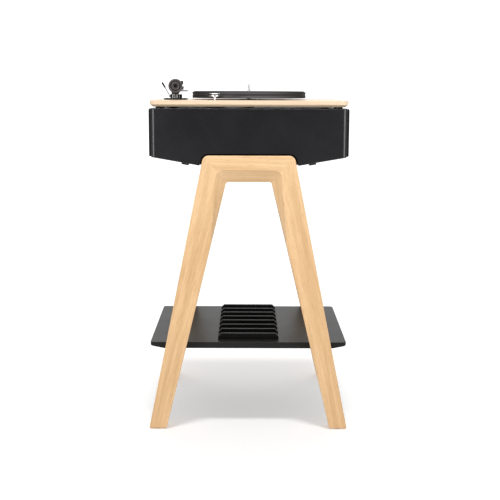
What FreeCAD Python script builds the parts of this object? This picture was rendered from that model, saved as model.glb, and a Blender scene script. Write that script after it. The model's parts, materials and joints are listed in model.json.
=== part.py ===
import FreeCAD, Part
import math
import os
import re
import Sketcher

# Speaker with turntable. Millimetres, +Z up, front at -Y, right at +X, origin on the floor under the centre.

# Driving dimensions: cell name, value, what it measures.
SIZES = [
    ("overrun", "10", "how far a cutting tool reaches past the face it cuts"),
    ("seat_gap", "0.1", "clearance of a piece fixed in its hole"),
    ("running_gap", "0.04", "radial clearance of a turning or sliding fit"),
    ("moving_gap", "0.4", "clearance between faces that pass each other"),
    ("glide_height", "1.5", "thickness of a foot glide"),
    ("glide_radius", "14", "radius of a foot glide"),
    ("frame_height", "703.2", "height of an A-frame above its glides"),
    ("frame_thick", "40", "thickness of an A-frame from front to back"),
    ("frame_top_width", "226", "width of an A-frame over its top"),
    ("frame_foot_width", "510", "width of an A-frame over its feet"),
    ("frame_corner", "16", "radius of the top corners of an A-frame"),
    ("frame_edge", "2", "rounding along the edges of an A-frame"),
    ("foot_bevel", "3", "bevel round the underside of a foot"),
    ("frame_proud", "4", "how far an A-frame stands out from the cabinet"),
    ("rail_height", "66.5", "height of the top rail"),
    ("leg_top_width", "56.4", "width of a leg at the top of an A-frame"),
    ("foot_width", "44.7", "width of a foot at the floor"),
    ("opening_corner", "8", "radius of the opening's top corners"),
    ("bevel_rail", "31", "height of the carved bevel on the rail"),
    ("bevel_leg", "24", "width of the carved bevel on a leg at its top"),
    ("bevel_depth", "18", "depth of the carved bevel"),
    ("bevel_corner", "20", "corner radius of the carved bevel"),
    ("bevel_run", "160", "how far the carved bevel runs down a leg before it fades out"),
    ("bolt_radius", "4", "radius of a frame bolt"),
    ("bolt_head_radius", "7", "radius of a frame bolt's head"),
    ("bolt_head", "5", "height of a frame bolt's head"),
    ("bolt_grip", "22", "how far a frame bolt reaches into the rail"),
    ("bolt_spread", "120", "distance between the two bolts of a rail"),
    ("bolt_access", "30", "length of the recess in the cabinet's floor that takes a bolt's head"),
    ("bolt_air", "1.5", "air round a bolt's head"),
    ("cabinet_width", "485", "width of the cabinet shell"),
    ("cabinet_depth", "490", "depth of the cabinet shell"),
    ("cabinet_side", "119.5", "height of the cabinet's upright sides"),
    ("cabinet_rise", "115.3", "height of the cabinet above the A-frames"),
    ("cabinet_corner", "10", "radius of the cabinet's upright corners"),
    ("cabinet_edge", "2", "rounding along the cabinet's top and bottom edges"),
    ("keel_drop", "21.7", "how far the sloping underside falls to the keel"),
    ("keel_width", "234", "width of the flat keel"),
    ("wall", "16", "wall of the cabinet"),
    ("shadow_gap", "4", "open joint round the A-frame's top"),
    ("panel_thick", "12", "thickness of the cabinet's top panel"),
    ("panel_ledge", "8", "width of the rim round the top panel"),
    ("batten_width", "17", "width of a batten under the slopes"),
    ("batten_height", "6.5", "height of a batten"),
    ("batten_spread", "320", "distance between the two battens"),
    ("batten_length", "430", "length of a batten"),
    ("grille_thick", "4", "thickness of a grille frame"),
    ("grille_rim", "7", "width of a grille frame's rim"),
    ("grille_margin", "2", "distance of a grille from the edges of its side"),
    ("grille_corner", "6", "corner radius of a grille"),
    ("cloth_thick", "1", "thickness of the grille cloth"),
    ("woofer_radius", "45", "radius of a woofer's flange"),
    ("woofer_depth", "58", "depth of a woofer behind its flange"),
    ("woofer_spread", "230", "distance between the two woofers of a side"),
    ("tweeter_radius", "26", "radius of a tweeter's flange"),
    ("tweeter_depth", "26", "depth of a tweeter behind its flange"),
    ("shelf_width", "507", "width of the record shelf"),
    ("shelf_thick", "16", "thickness of the record shelf"),
    ("shelf_level", "221", "height of the shelf's top above the floor"),
    ("shelf_corner", "10", "corner radius of the shelf"),
    ("shelf_bevel", "35", "width of the bevel under the shelf's left and right ends"),
    ("shelf_bevel_rise", "7", "height of the bevel under the shelf's ends"),
    ("shelf_edge", "1", "rounding along the shelf's top edges"),
    ("bracket_thick", "3", "thickness of a shelf bracket"),
    ("bracket_width", "24", "width of a shelf bracket"),
    ("bracket_reach", "32", "length of each leaf of a shelf bracket"),
    ("divider_length", "158", "length of a record divider"),
    ("divider_thick", "11", "thickness of a record divider"),
    ("divider_height", "15.5", "height of a record divider"),
    ("divider_chamfer", "8", "chamfer at a divider's upper ends"),
    ("divider_edge", "1.5", "rounding along a divider's top"),
    ("divider_inset", "36", "distance of the last divider from the shelf's rear edge"),
    ("divider_front_inset", "47", "distance of the first divider from the shelf's front edge"),
    ("plinth_overhang", "2.5", "how far the turntable plate stands out over the cabinet's sides"),
    ("plinth_thick", "15.5", "thickness of the turntable plate"),
    ("plinth_bevel", "8", "width of the bevel under the turntable plate's edge"),
    ("plinth_bevel_rise", "6", "height of the bevel under the turntable plate's edge"),
    ("plinth_edge", "0.8", "rounding along the turntable plate's top edge"),
    ("plinth_corner", "18", "corner radius of the turntable plate"),
    ("damper_height", "3.5", "height of a damper under the turntable plate"),
    ("damper_radius", "11", "radius of a damper"),
    ("damper_inset", "25", "distance of a damper from the plate's edges"),
    ("platter_radius", "152", "radius of the platter"),
    ("platter_thick", "16.2", "thickness of the platter"),
    ("platter_gap", "4", "air between the plate and the platter"),
    ("platter_hub", "34", "radius of the platter's solid hub"),
    ("platter_rim", "16", "width of the platter's solid rim"),
    ("platter_hollow", "9", "depth of the hollow under the platter"),
    ("platter_edge", "0.8", "chamfer on the platter's edges"),
    ("groove_low", "7.2", "height of the belt groove above the platter's underside"),
    ("groove_width", "4", "width of the belt groove"),
    ("groove_depth", "1.6", "depth of the belt groove"),
    ("mat_radius", "148", "radius of the platter mat"),
    ("mat_thick", "1.8", "thickness of the platter mat"),
    ("mat_label_radius", "51", "radius of the mat's recess for a record label"),
    ("mat_label_depth", "0.6", "depth of the mat's recess"),
    ("spindle_radius", "3.57", "radius of the centre spindle"),
    ("spindle_root", "4.5", "radius of the spindle inside the platter and the mat"),
    ("spindle_rise", "18.5", "height of the spindle above the mat"),
    ("spindle_tip", "2", "height of the spindle's tapered tip"),
    ("shaft_radius", "5", "radius of the platter's bearing shaft"),
    ("thrust_gap", "0.3", "play under a turning shaft"),
    ("bearing_radius", "14", "radius of the bearing housing"),
    ("bearing_depth", "48", "depth of the bearing housing below the plate's top"),
    ("bearing_floor", "5", "thickness of the bearing housing's floor"),
    ("bearing_flange_radius", "22", "radius of the bearing housing's flange"),
    ("bearing_flange", "1", "thickness of the bearing housing's flange"),
    ("motor_x", "87", "place of the motor to the right of the spindle"),
    ("motor_y", "146", "place of the motor behind the spindle"),
    ("motor_radius", "20", "radius of the motor can"),
    ("motor_depth", "34", "depth of the motor can"),
    ("motor_flange_radius", "26", "radius of the motor's flange"),
    ("motor_flange", "3", "thickness of the motor's flange"),
    ("motor_shaft_radius", "2", "radius of the motor shaft"),
    ("motor_shaft_depth", "22", "depth of the motor shaft in the motor"),
    ("pulley_radius", "13.5", "radius of the motor pulley"),
    ("pulley_flange", "1.8", "height of the pulley above and below its groove"),
    ("pulley_stem_radius", "3.7", "radius of the pulley's stem"),
    ("pulley_stem_gap", "1.2", "air between the plate and the pulley's stem"),
    ("belt_gap", "0.3", "clearance of the belt from its two grooves"),
    ("belt_thick", "0.7", "thickness of the drive belt"),
    ("belt_width", "3", "width of the drive belt"),
    ("arm_x", "190", "place of the arm's pivot to the right of the spindle"),
    ("arm_y", "98", "place of the arm's pivot behind the spindle"),
    ("arm_rise", "35", "height of the arm's axis above the plate"),
    ("arm_turn", "3.5", "outward turn of the arm on its rest in degrees"),
    ("arm_base_radius", "31", "radius of the arm's base disc"),
    ("arm_base_thick", "4", "thickness of the arm's base disc"),
    ("pillar_radius", "9", "radius of the arm's pillar"),
    ("pillar_height", "10", "height of the arm's pillar"),
    ("pivot_radius", "4", "radius of the arm's upright pivot"),
    ("pivot_depth", "8", "depth of the arm's upright pivot in the pillar"),
    ("yoke_foot_width", "16", "width of the yoke's foot"),
    ("yoke_width", "30", "width of the yoke over its cheeks"),
    ("yoke_cheek", "4.6", "thickness of a cheek of the yoke"),
    ("yoke_flare", "12", "height over which the yoke widens"),
    ("yoke_depth", "16", "depth of the yoke from front to back"),
    ("yoke_air", "3", "air under the arm's pivot block"),
    ("yoke_top", "7", "height of the yoke above the arm's axis"),
    ("pin_radius", "2", "radius of the arm's cross pin"),
    ("block_height", "13", "height of the arm's pivot block"),
    ("block_length", "20", "length of the arm's pivot block"),
    ("tube_radius", "4.5", "radius of the arm tube"),
    ("tube_front", "188", "length of the arm tube in front of the pivot"),
    ("tube_rear", "36", "length of the arm tube behind the pivot"),
    ("weight_radius", "18", "radius of the counterweight"),
    ("weight_length", "22", "length of the counterweight"),
    ("weight_offset", "19", "distance of the counterweight behind the pivot"),
    ("weight_travel", "5", "how far the counterweight slides each way"),
    ("weight_groove", "1.2", "depth of the rings in the counterweight"),
    ("shell_width", "16", "width of the headshell"),
    ("shell_length", "42", "length of the headshell"),
    ("shell_thick", "3", "thickness of the headshell"),
    ("shell_drop", "1", "depth of the headshell's top below the arm's axis"),
    ("shell_angle", "20", "offset angle of the headshell in degrees"),
    ("collar_radius", "6.5", "radius of the headshell's collar"),
    ("collar_length", "12", "length of the headshell's collar"),
    ("finger_length", "14", "length of the headshell's finger lift"),
    ("finger_width", "3.5", "width of the finger lift"),
    ("finger_inset", "8", "distance of the finger lift from the headshell's front"),
    ("cartridge_width", "14", "width of the cartridge"),
    ("cartridge_length", "26", "length of the cartridge"),
    ("cartridge_height", "6.5", "height of the cartridge"),
    ("stylus_height", "1.5", "how far the stylus reaches below the cartridge"),
    ("stylus_radius", "1.4", "radius of the stylus at its root"),
    ("stylus_reach", "33", "distance of the stylus from the end of the arm tube"),
    ("rest_ahead", "112", "distance of the arm rest in front of the arm's pivot"),
    ("rest_radius", "4", "radius of the arm rest's post"),
    ("rest_width", "18", "width of the arm rest's saddle"),
    ("rest_thick", "4", "thickness of the arm rest's saddle"),
    ("rest_depth", "8", "depth of the arm rest's saddle"),
    ("rest_lip", "9", "height of the arm rest's outer lip"),
    ("rest_lip_thick", "3", "thickness of the arm rest's outer lip"),
    ("lift_right", "12", "place of the lift housing to the right of the arm's pivot"),
    ("lift_ahead", "39.5", "place of the lift housing in front of the arm's pivot"),
    ("lift_width", "8", "width of the lift housing"),
    ("lift_length", "18", "length of the lift housing"),
    ("lift_height", "14", "height of the lift housing"),
    ("lift_floor", "3", "thickness of the lift housing's floor"),
    ("lift_post_radius", "2", "radius of the lift bar's post"),
    ("lift_bar_width", "4", "width of the lift bar"),
    ("lift_bar_thick", "3", "thickness of the lift bar"),
    ("lift_bar_sweep", "58", "angle that the lift bar spans in degrees"),
    ("lift_air", "6.5", "air between the lift bar and the arm tube"),
    ("lift_travel", "5", "how far the lift bar rises"),
    ("lever_axle_radius", "1.6", "radius of the cue lever's axle"),
    ("lever_axle_drop", "4.5", "depth of the lever's axle below the housing's top"),
    ("lever_hub_radius", "3.4", "radius of the cue lever's hub"),
    ("lever_hub_thick", "3", "thickness of the cue lever's hub"),
    ("lever_rod_radius", "1.1", "radius of the cue lever's rod"),
    ("lever_length", "40", "length of the cue lever"),
    ("lever_lean", "30", "outward lean of the cue lever in degrees"),
    ("lever_grip_radius", "2.3", "radius of the cue lever's grip"),
    ("lever_grip_length", "15", "length of the cue lever's grip"),
    ("skate_gap", "0.7", "distance of the anti-skating post from the arm's pillar"),
    ("skate_behind", "3", "place of the anti-skating post behind the arm's pivot"),
    ("skate_width", "7", "width of the anti-skating post"),
    ("skate_length", "9", "length of the anti-skating post"),
    ("skate_height", "10", "height of the anti-skating post"),
    ("skate_screw_radius", "2", "radius of the screw head on the anti-skating post"),
    ("skate_screw", "1.5", "height of the screw head on the anti-skating post"),
    ("skate_ear", "5", "how far the ear for the anti-skating knob stands out from the yoke"),
    ("skate_ear_thick", "3", "thickness of the ear for the anti-skating knob"),
    ("skate_rod_radius", "1.3", "radius of the anti-skating knob's stem"),
    ("skate_rod_out", "1.5", "distance of the anti-skating knob's stem from the yoke"),
    ("skate_knob_radius", "3.2", "radius of the anti-skating knob"),
    ("skate_knob_height", "6", "height of the anti-skating knob"),
    ("skate_knob_cover", "4", "how far the knob reaches down over its rod"),
    ("transformer_radius", "42", "radius of the mains transformer"),
    ("transformer_bore", "16", "radius of the transformer's bore"),
    ("transformer_height", "38", "height of the mains transformer"),
    ("transformer_x", "-62", "place of the transformer to the right of the spindle"),
    ("board_x", "58", "place of the amplifier board to the right of the spindle"),
    ("board_width", "96", "width of the amplifier board"),
    ("board_length", "150", "length of the amplifier board"),
    ("board_thick", "2", "thickness of the amplifier board"),
    ("standoff_height", "8", "height of the amplifier board's standoffs"),
    ("standoff_radius", "3", "radius of a standoff"),
    ("capacitor_radius", "11", "radius of a capacitor on the board"),
    ("capacitor_height", "30", "height of a capacitor"),
    ("sink_length", "90", "length of the heat sink"),
    ("sink_width", "40", "width of the heat sink"),
    ("sink_height", "34", "height of the heat sink"),
    ("sink_base", "5", "thickness of the heat sink's base"),
    ("sink_fin", "2", "thickness of a heat sink fin"),
    ("inlet_x", "-62", "place of the power inlet to the right of the spindle"),
    ("inlet_y", "-110", "place of the power inlet behind the spindle"),
    ("inlet_width", "50", "width of the power inlet"),
    ("inlet_length", "26", "length of the power inlet"),
    ("inlet_depth", "28", "depth of the power inlet inside the cabinet"),
    ("inlet_flange", "4", "width of the power inlet's flange"),
    ("inlet_flange_thick", "2", "thickness of the power inlet's flange"),
    ("socket_width", "20", "width of the inlet's plug recess"),
    ("socket_length", "16", "length of the inlet's plug recess"),
    ("socket_depth", "18", "depth of the inlet's plug recess"),
    ("rocker_width", "12", "width of the power switch"),
    ("rocker_length", "18", "length of the power switch"),
    ("rocker_height", "9", "height of the power switch"),
    ("rocker_proud", "2", "how far the power switch stands out"),
    ("rocker_dip", "1.6", "hollow of the power switch's face"),
    ("rocker_air", "1.6", "air round the power switch"),
    ("rocker_pin_radius", "1.2", "radius of the power switch's pin"),
    ("rocker_pin_length", "18", "length of the power switch's pin"),
    ("jack_radius", "4.2", "radius of an audio socket"),
    ("jack_flange_radius", "6", "radius of an audio socket's flange"),
    ("jack_flange", "2", "thickness of an audio socket's flange"),
    ("jack_length", "24", "length of an audio socket inside the cabinet"),
    ("jack_proud", "8", "how far an audio socket stands out"),
    ("jack_bore", "1.8", "radius of an audio socket's bore"),
    ("jack_pitch", "18", "distance between the audio sockets"),
    ("jack_x", "40", "place of the audio sockets to the right of the spindle"),
]

DIVIDER_COUNT = 8

# Levels and places that follow from the driving dimensions.
FOLLOWS = {
    "frame_top": "glide_height + frame_height",
    "frame_outer": "cabinet_depth / 2 + frame_proud",
    "frame_inner": "frame_outer - frame_thick",
    "opening_top": "frame_top - rail_height",
    "opening_foot_width": "frame_foot_width - 2 * foot_width",
    "opening_top_width": "frame_top_width - 2 * leg_top_width",
    "leg_lean": "(frame_foot_width - frame_top_width) / 2 / frame_height",
    "opening_lean": "(opening_foot_width - opening_top_width) / 2 / (frame_height - rail_height)",
    "mitre_lean": "(frame_top_width - opening_top_width) / 2 / rail_height",
    "bevel_end": "opening_top - bevel_run",
    "foot_middle": "(frame_foot_width + opening_foot_width) / 4",
    "cabinet_top": "frame_top + cabinet_rise",
    "side_bottom": "cabinet_top - cabinet_side",
    "side_middle": "cabinet_top - cabinet_side / 2",
    "keel_bottom": "side_bottom - keel_drop",
    "keel_floor": "keel_bottom + wall",
    "slope": "keel_drop / ((cabinet_width - keel_width) / 2)",
    "cavity_half": "cabinet_width / 2 - wall",
    "cavity_side_floor": "side_bottom + wall - slope * wall",
    "cavity_top": "cabinet_top - panel_thick",
    "pocket_top": "frame_top + shadow_gap",
    "pocket_top_half": "frame_top_width / 2 + shadow_gap",
    "bolt_level": "(keel_bottom + frame_top) / 2",
    "shelf_bottom": "shelf_level - shelf_thick",
    "bracket_level": "shelf_bottom - bracket_reach / 2",
    "bracket_x": "foot_middle - (leg_lean + opening_lean) / 2 * (bracket_level - glide_height)",
    "divider_pitch": "(2 * frame_inner - divider_inset - divider_front_inset) / %d" % (DIVIDER_COUNT - 1),
    "grille_length": "cabinet_depth - 2 * cabinet_corner",
    "grille_height": "cabinet_side - 2 * grille_margin",
    "plinth_width": "cabinet_width + 2 * plinth_overhang",
    "plinth_depth": "cabinet_depth",
    "plinth_bottom": "cabinet_top + damper_height",
    "plinth_top": "plinth_bottom + plinth_thick",
    "platter_bottom": "plinth_top + platter_gap",
    "platter_top": "platter_bottom + platter_thick",
    "mat_top": "platter_top + mat_thick",
    "groove_bottom": "platter_bottom + groove_low",
    "groove_top": "groove_bottom + groove_width",
    "groove_radius": "platter_radius - groove_depth",
    "pulley_groove_radius": "pulley_radius - groove_depth",
    "bearing_bottom": "plinth_top - bearing_depth",
    "arm_axis": "plinth_top + arm_rise",
    "arm_base_top": "plinth_top + arm_base_thick",
    "pillar_top": "arm_base_top + pillar_height",
    "yoke_bottom": "pillar_top + moving_gap",
    "yoke_slot_half": "yoke_width / 2 - yoke_cheek",
    "yoke_slot_floor": "arm_axis - block_height / 2 - yoke_air",
    "shell_top": "arm_axis - shell_drop",
    "shell_bottom": "shell_top - shell_thick",
    "lift_x": "arm_x + lift_right",
    "lift_y": "arm_y - lift_ahead",
    "lift_top": "plinth_top + lift_height",
    "lift_bar_top": "arm_axis - tube_radius - lift_air",
    "lift_post_y": "lift_y - lift_length / 4",
    "lever_axle_y": "lift_y + lift_length / 4",
    "lever_hub_x": "lift_x + lift_width / 2 + moving_gap",
    "lever_axle_level": "lift_top - lever_axle_drop",
    "skate_x": "arm_x - pillar_radius - skate_gap - skate_width / 2",
    "skate_y": "arm_y + skate_behind",
    "yoke_crown": "arm_axis + yoke_top",
    "skate_rod_x": "yoke_width / 2 + skate_rod_out",
    "skate_knob_bottom": "yoke_crown + thrust_gap",
    "board_bottom": "keel_floor + standoff_height",
    "board_top": "board_bottom + board_thick",
    "rocker_x": "inlet_x + inlet_width / 4",
    "socket_x": "inlet_x - inlet_width / 4 + inlet_flange / 4",
    "rocker_bottom": "keel_bottom - inlet_flange_thick - rocker_proud",
    "rocker_level": "rocker_bottom + 2 * rocker_height / 3",
    "rest_top": "arm_axis - tube_radius - moving_gap",
}

# Outlines of turned pieces as shares of their radius and depth.
BASKET_SHARES = [(0, -0.34), (0.27, -0.34), (0.73, 0), (0.8, 0), (0.8, 0.052), (1, 0.052), (1, 0),
                 (0.83, 0), (0.83, -0.17), (0.66, -0.62), (0.66, -1), (0, -1)]
CONE_SHARES = [(0, -0.28), (0.25, -0.28), (0.73, 0), (0.795, 0), (0.78, 0.036), (0.74, 0.036), (0.71, 0.01),
               (0.25, -0.24), (0.16, -0.19), (0, -0.17)]
TWEETER_SHARES = [(0, 0.04), (0.3, 0.02), (0.44, -0.06), (0.52, -0.06), (0.66, 0.115), (1, 0.115), (1, 0),
                  (0.76, 0), (0.76, -0.4), (0.6, -0.45), (0.6, -1), (0, -1)]
STRAIGHT_SHARE = 0.99
EDGE_SHARE = 0.02
FIN_SHARES = [0, 0.2, 0.4, 0.6, 0.8, 1]
WEIGHT_RING_SHARES = (0.76, 0.62)
WOOFER_HOLE_SHARE = 0.83
TWEETER_HOLE_SHARE = 0.76

doc = FreeCAD.newDocument("SpeakerWithTurntable")
sheet = doc.addObject("Spreadsheet::Sheet", "Sizes")
for row, (alias, number, meaning) in enumerate(SIZES, start=1):
    sheet.set("A%d" % row, meaning)
    sheet.set("B%d" % row, number)
    sheet.setAlias("B%d" % row, alias)
doc.recompute()

SIZE_NAMES = {alias for alias, number, meaning in SIZES}
NODES = []


def spelled(formula):
    """Write a formula out in cells of the sheet."""

    def spell(match):
        word = match.group(0)
        if word in FOLLOWS:
            return "(" + spelled(FOLLOWS[word]) + ")"
        if word in SIZE_NAMES:
            return "Sizes." + word
        return word

    return re.sub(r"[A-Za-z_]\w*", spell, str(formula))


def value(formula):
    """The number that a formula stands for now."""
    result = sheet.evalExpression(spelled(formula))
    return float(getattr(result, "Value", result))


def bind(obj, **formulas):
    """Tie properties of an object to formulas."""
    for path, formula in formulas.items():
        obj.setExpression(path, spelled(formula))


def place(obj, x=0, y=0, z=0, turn=None):
    """Put an object at a place that follows the sheet, with a turn of its own."""
    if turn:
        obj.Placement = FreeCAD.Placement(FreeCAD.Vector(), turn)
    for axis, formula in zip("xyz", (x, y, z)):
        obj.setExpression("Placement.Base." + axis, spelled(formula))
    return obj


ALONG_X = FreeCAD.Rotation(FreeCAD.Vector(0, 1, 0), 90)
AGAINST_X = FreeCAD.Rotation(FreeCAD.Vector(0, 1, 0), -90)
ALONG_Y = FreeCAD.Rotation(FreeCAD.Vector(1, 0, 0), -90)
AGAINST_Y = FreeCAD.Rotation(FreeCAD.Vector(1, 0, 0), 90)


def upright_turn(degrees):
    """A turn about the upright axis."""
    return FreeCAD.Rotation(FreeCAD.Vector(0, 0, 1), degrees)


def keep(obj):
    """Note a finished sub-part, which is written to a file of its own."""
    NODES.append(obj)
    return obj


def block(name, length, width, height, x=0, y=0, z=0):
    """A box centred over (x, y) that stands on z."""
    obj = doc.addObject("Part::Box", name)
    bind(obj, Length=length, Width=width, Height=height)
    return place(obj, "%s - (%s) / 2" % (x, length), "%s - (%s) / 2" % (y, width), z)


def rod(name, radius, height, x=0, y=0, z=0, turn=None):
    """A cylinder that starts at (x, y, z)."""
    obj = doc.addObject("Part::Cylinder", name)
    bind(obj, Radius=radius, Height=height)
    return place(obj, x, y, z, turn)


def cut(name, base, *tools):
    """The base with one or more tools taken away."""
    obj = doc.addObject("Part::Cut", name)
    obj.Base = base
    obj.Tool = tools[0] if len(tools) == 1 else together(name + "_tools", *tools)
    return obj


def together(name, *pieces):
    """Pieces joined to one solid."""
    obj = doc.addObject("Part::MultiFuse", name)
    obj.Shapes = list(pieces)
    return obj


def common(name, one, other):
    """What two solids share."""
    obj = doc.addObject("Part::Common", name)
    obj.Base = one
    obj.Tool = other
    return obj


def group(name, *pieces):
    """Like pieces kept as separate solids of one node."""
    obj = doc.addObject("Part::Compound", name)
    obj.Links = list(pieces)
    return obj


def mirrored(name, source, normal):
    """A mirror image across the middle of the console."""
    obj = doc.addObject("Part::Mirroring", name)
    obj.Source = source
    obj.Base = FreeCAD.Vector()
    obj.Normal = FreeCAD.Vector(*normal)
    return obj


def new_body(name):
    return doc.addObject("PartDesign::Body", name)


def outline(body, role, points):
    """A closed sketch of straight lines through points that follow the sheet."""
    sketch = body.newObject("Sketcher::SketchObject", body.Name + "_outline")
    support = [plane for plane in body.Origin.OriginFeatures if plane.Role == role]
    sketch.AttachmentSupport = [(support[0], "")]
    sketch.MapMode = "FlatFace"
    spots = [FreeCAD.Vector(value(u), value(v), 0) for u, v in points]
    count = len(spots)
    for index in range(count):
        sketch.addGeometry(Part.LineSegment(spots[index], spots[(index + 1) % count]), False)
    for index in range(count):
        sketch.addConstraint(Sketcher.Constraint("Coincident", index, 2, (index + 1) % count, 1))
    for index, (u, v) in enumerate(points):
        across = sketch.addConstraint(Sketcher.Constraint("DistanceX", -1, 1, index, 1, spots[index].x))
        sketch.setExpression("Constraints[%d]" % across, spelled(u))
        up = sketch.addConstraint(Sketcher.Constraint("DistanceY", -1, 1, index, 1, spots[index].y))
        sketch.setExpression("Constraints[%d]" % up, spelled(v))
    return sketch


def padded(name, role, points, length, both_ways=False):
    """A body padded from an outline."""
    body = new_body(name)
    pad = body.newObject("PartDesign::Pad", name + "_pad")
    pad.Profile = outline(body, role, points)
    if both_ways:
        pad.SideType = "Symmetric"
    bind(pad, Length=length)
    return body


def turned(name, points, angle=360):
    """A body turned about its own Z axis from an outline of (radius, height)."""
    body = new_body(name)
    sketch = outline(body, "XZ_Plane", points)
    turning = body.newObject("PartDesign::Revolution", name + "_turning")
    turning.Profile = sketch
    turning.ReferenceAxis = (sketch, ["V_Axis"])
    bind(turning, Angle=angle)
    return body


def turned_shares(name, shares, radius, height):
    """A turned body whose outline is given as shares of a radius and a height."""
    points = [("%s * (%s)" % (across, radius), "%s * (%s)" % (up, height)) for across, up in shares]
    return turned(name, points)


def dressed(body, kind, size, wanted, rise=None):
    """Round or chamfer the edges of a body that a test picks. A chamfer may have a rise of its own."""
    doc.recompute()
    base = body.Tip
    edges = ["Edge%d" % number for number, edge in enumerate(base.Shape.Edges, start=1) if wanted(edge)]
    if not edges:
        raise RuntimeError("no edge to dress on " + body.Name)
    feature = body.newObject("PartDesign::" + kind, body.Name + "_" + kind.lower())
    feature.Base = (base, edges)
    bind(feature, **{"Radius" if kind == "Fillet" else "Size": size})
    if rise:
        feature.ChamferType = "Two distances"
        feature.FlipDirection = True
        bind(feature, Size2=rise)
    return body


def runs(edge, x, y, z):
    """Whether an edge is straight along a direction."""
    if edge.Curve.TypeId != "Part::GeomLine":
        return False
    return abs(edge.tangentAt(edge.FirstParameter).dot(FreeCAD.Vector(x, y, z))) > STRAIGHT_SHARE


def plate(name, width, depth, thick, corner):
    """A flat plate with round corners, standing on its own origin."""
    half_width = "(%s) / 2" % width
    half_depth = "(%s) / 2" % depth
    corners = [(half_width, half_depth), ("-" + half_width, half_depth),
               ("-" + half_width, "-" + half_depth), (half_width, "-" + half_depth)]
    body = padded(name, "XY_Plane", corners, thick)
    return dressed(body, "Fillet", corner, lambda edge: runs(edge, 0, 0, 1))


def rounded_wire(points, radii, level):
    """A closed wire in an upright plane, with an arc at each corner that has a radius."""
    spots = [FreeCAD.Vector(x, level, z) for x, z in points]
    edges = []
    start = spots[0]
    for index, radius in enumerate(radii[1:], start=1):
        corner = spots[index]
        back = (spots[index - 1] - corner).normalize()
        ahead = (spots[(index + 1) % len(spots)] - corner).normalize()
        if radius:
            half_angle = back.getAngle(ahead) / 2
            reach = radius / math.tan(half_angle)
            middle = (back + ahead).normalize() * (radius / math.sin(half_angle) - radius)
            edges.append(Part.LineSegment(start, corner + back * reach).toShape())
            arc = Part.Arc(corner + back * reach, corner + middle, corner + ahead * reach)
            edges.append(arc.toShape())
            start = corner + ahead * reach
        else:
            edges.append(Part.LineSegment(start, corner).toShape())
            start = corner
    edges.append(Part.LineSegment(start, spots[0]).toShape())
    return Part.Wire(edges)


def carved_bevel():
    """The tool that carves the bevel under the rail, which fades out down both legs."""
    end_half = value("opening_top_width / 2 + opening_lean * bevel_run")
    end = value("bevel_end")
    face_half = value("opening_top_width / 2 + bevel_leg")
    face_top = value("opening_top + bevel_rail")
    deep_half = value("opening_top_width / 2")
    deep_top = value("opening_top")
    face = [(-end_half, end), (-face_half, face_top), (face_half, face_top), (end_half, end)]
    deep = [(-end_half, end), (-deep_half, deep_top), (deep_half, deep_top), (end_half, end)]
    outer = value("frame_outer")
    face_radius = value("bevel_corner")
    deep_radius = value("opening_corner")
    face_wire = rounded_wire(face, [0, face_radius, face_radius, 0], outer)
    deep_wire = rounded_wire(deep, [0, deep_radius, deep_radius, 0], outer - value("bevel_depth"))
    tool = doc.addObject("Part::Feature", "carved_bevel")
    tool.Shape = Part.makeLoft([face_wire, deep_wire], True, True)
    return tool


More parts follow.
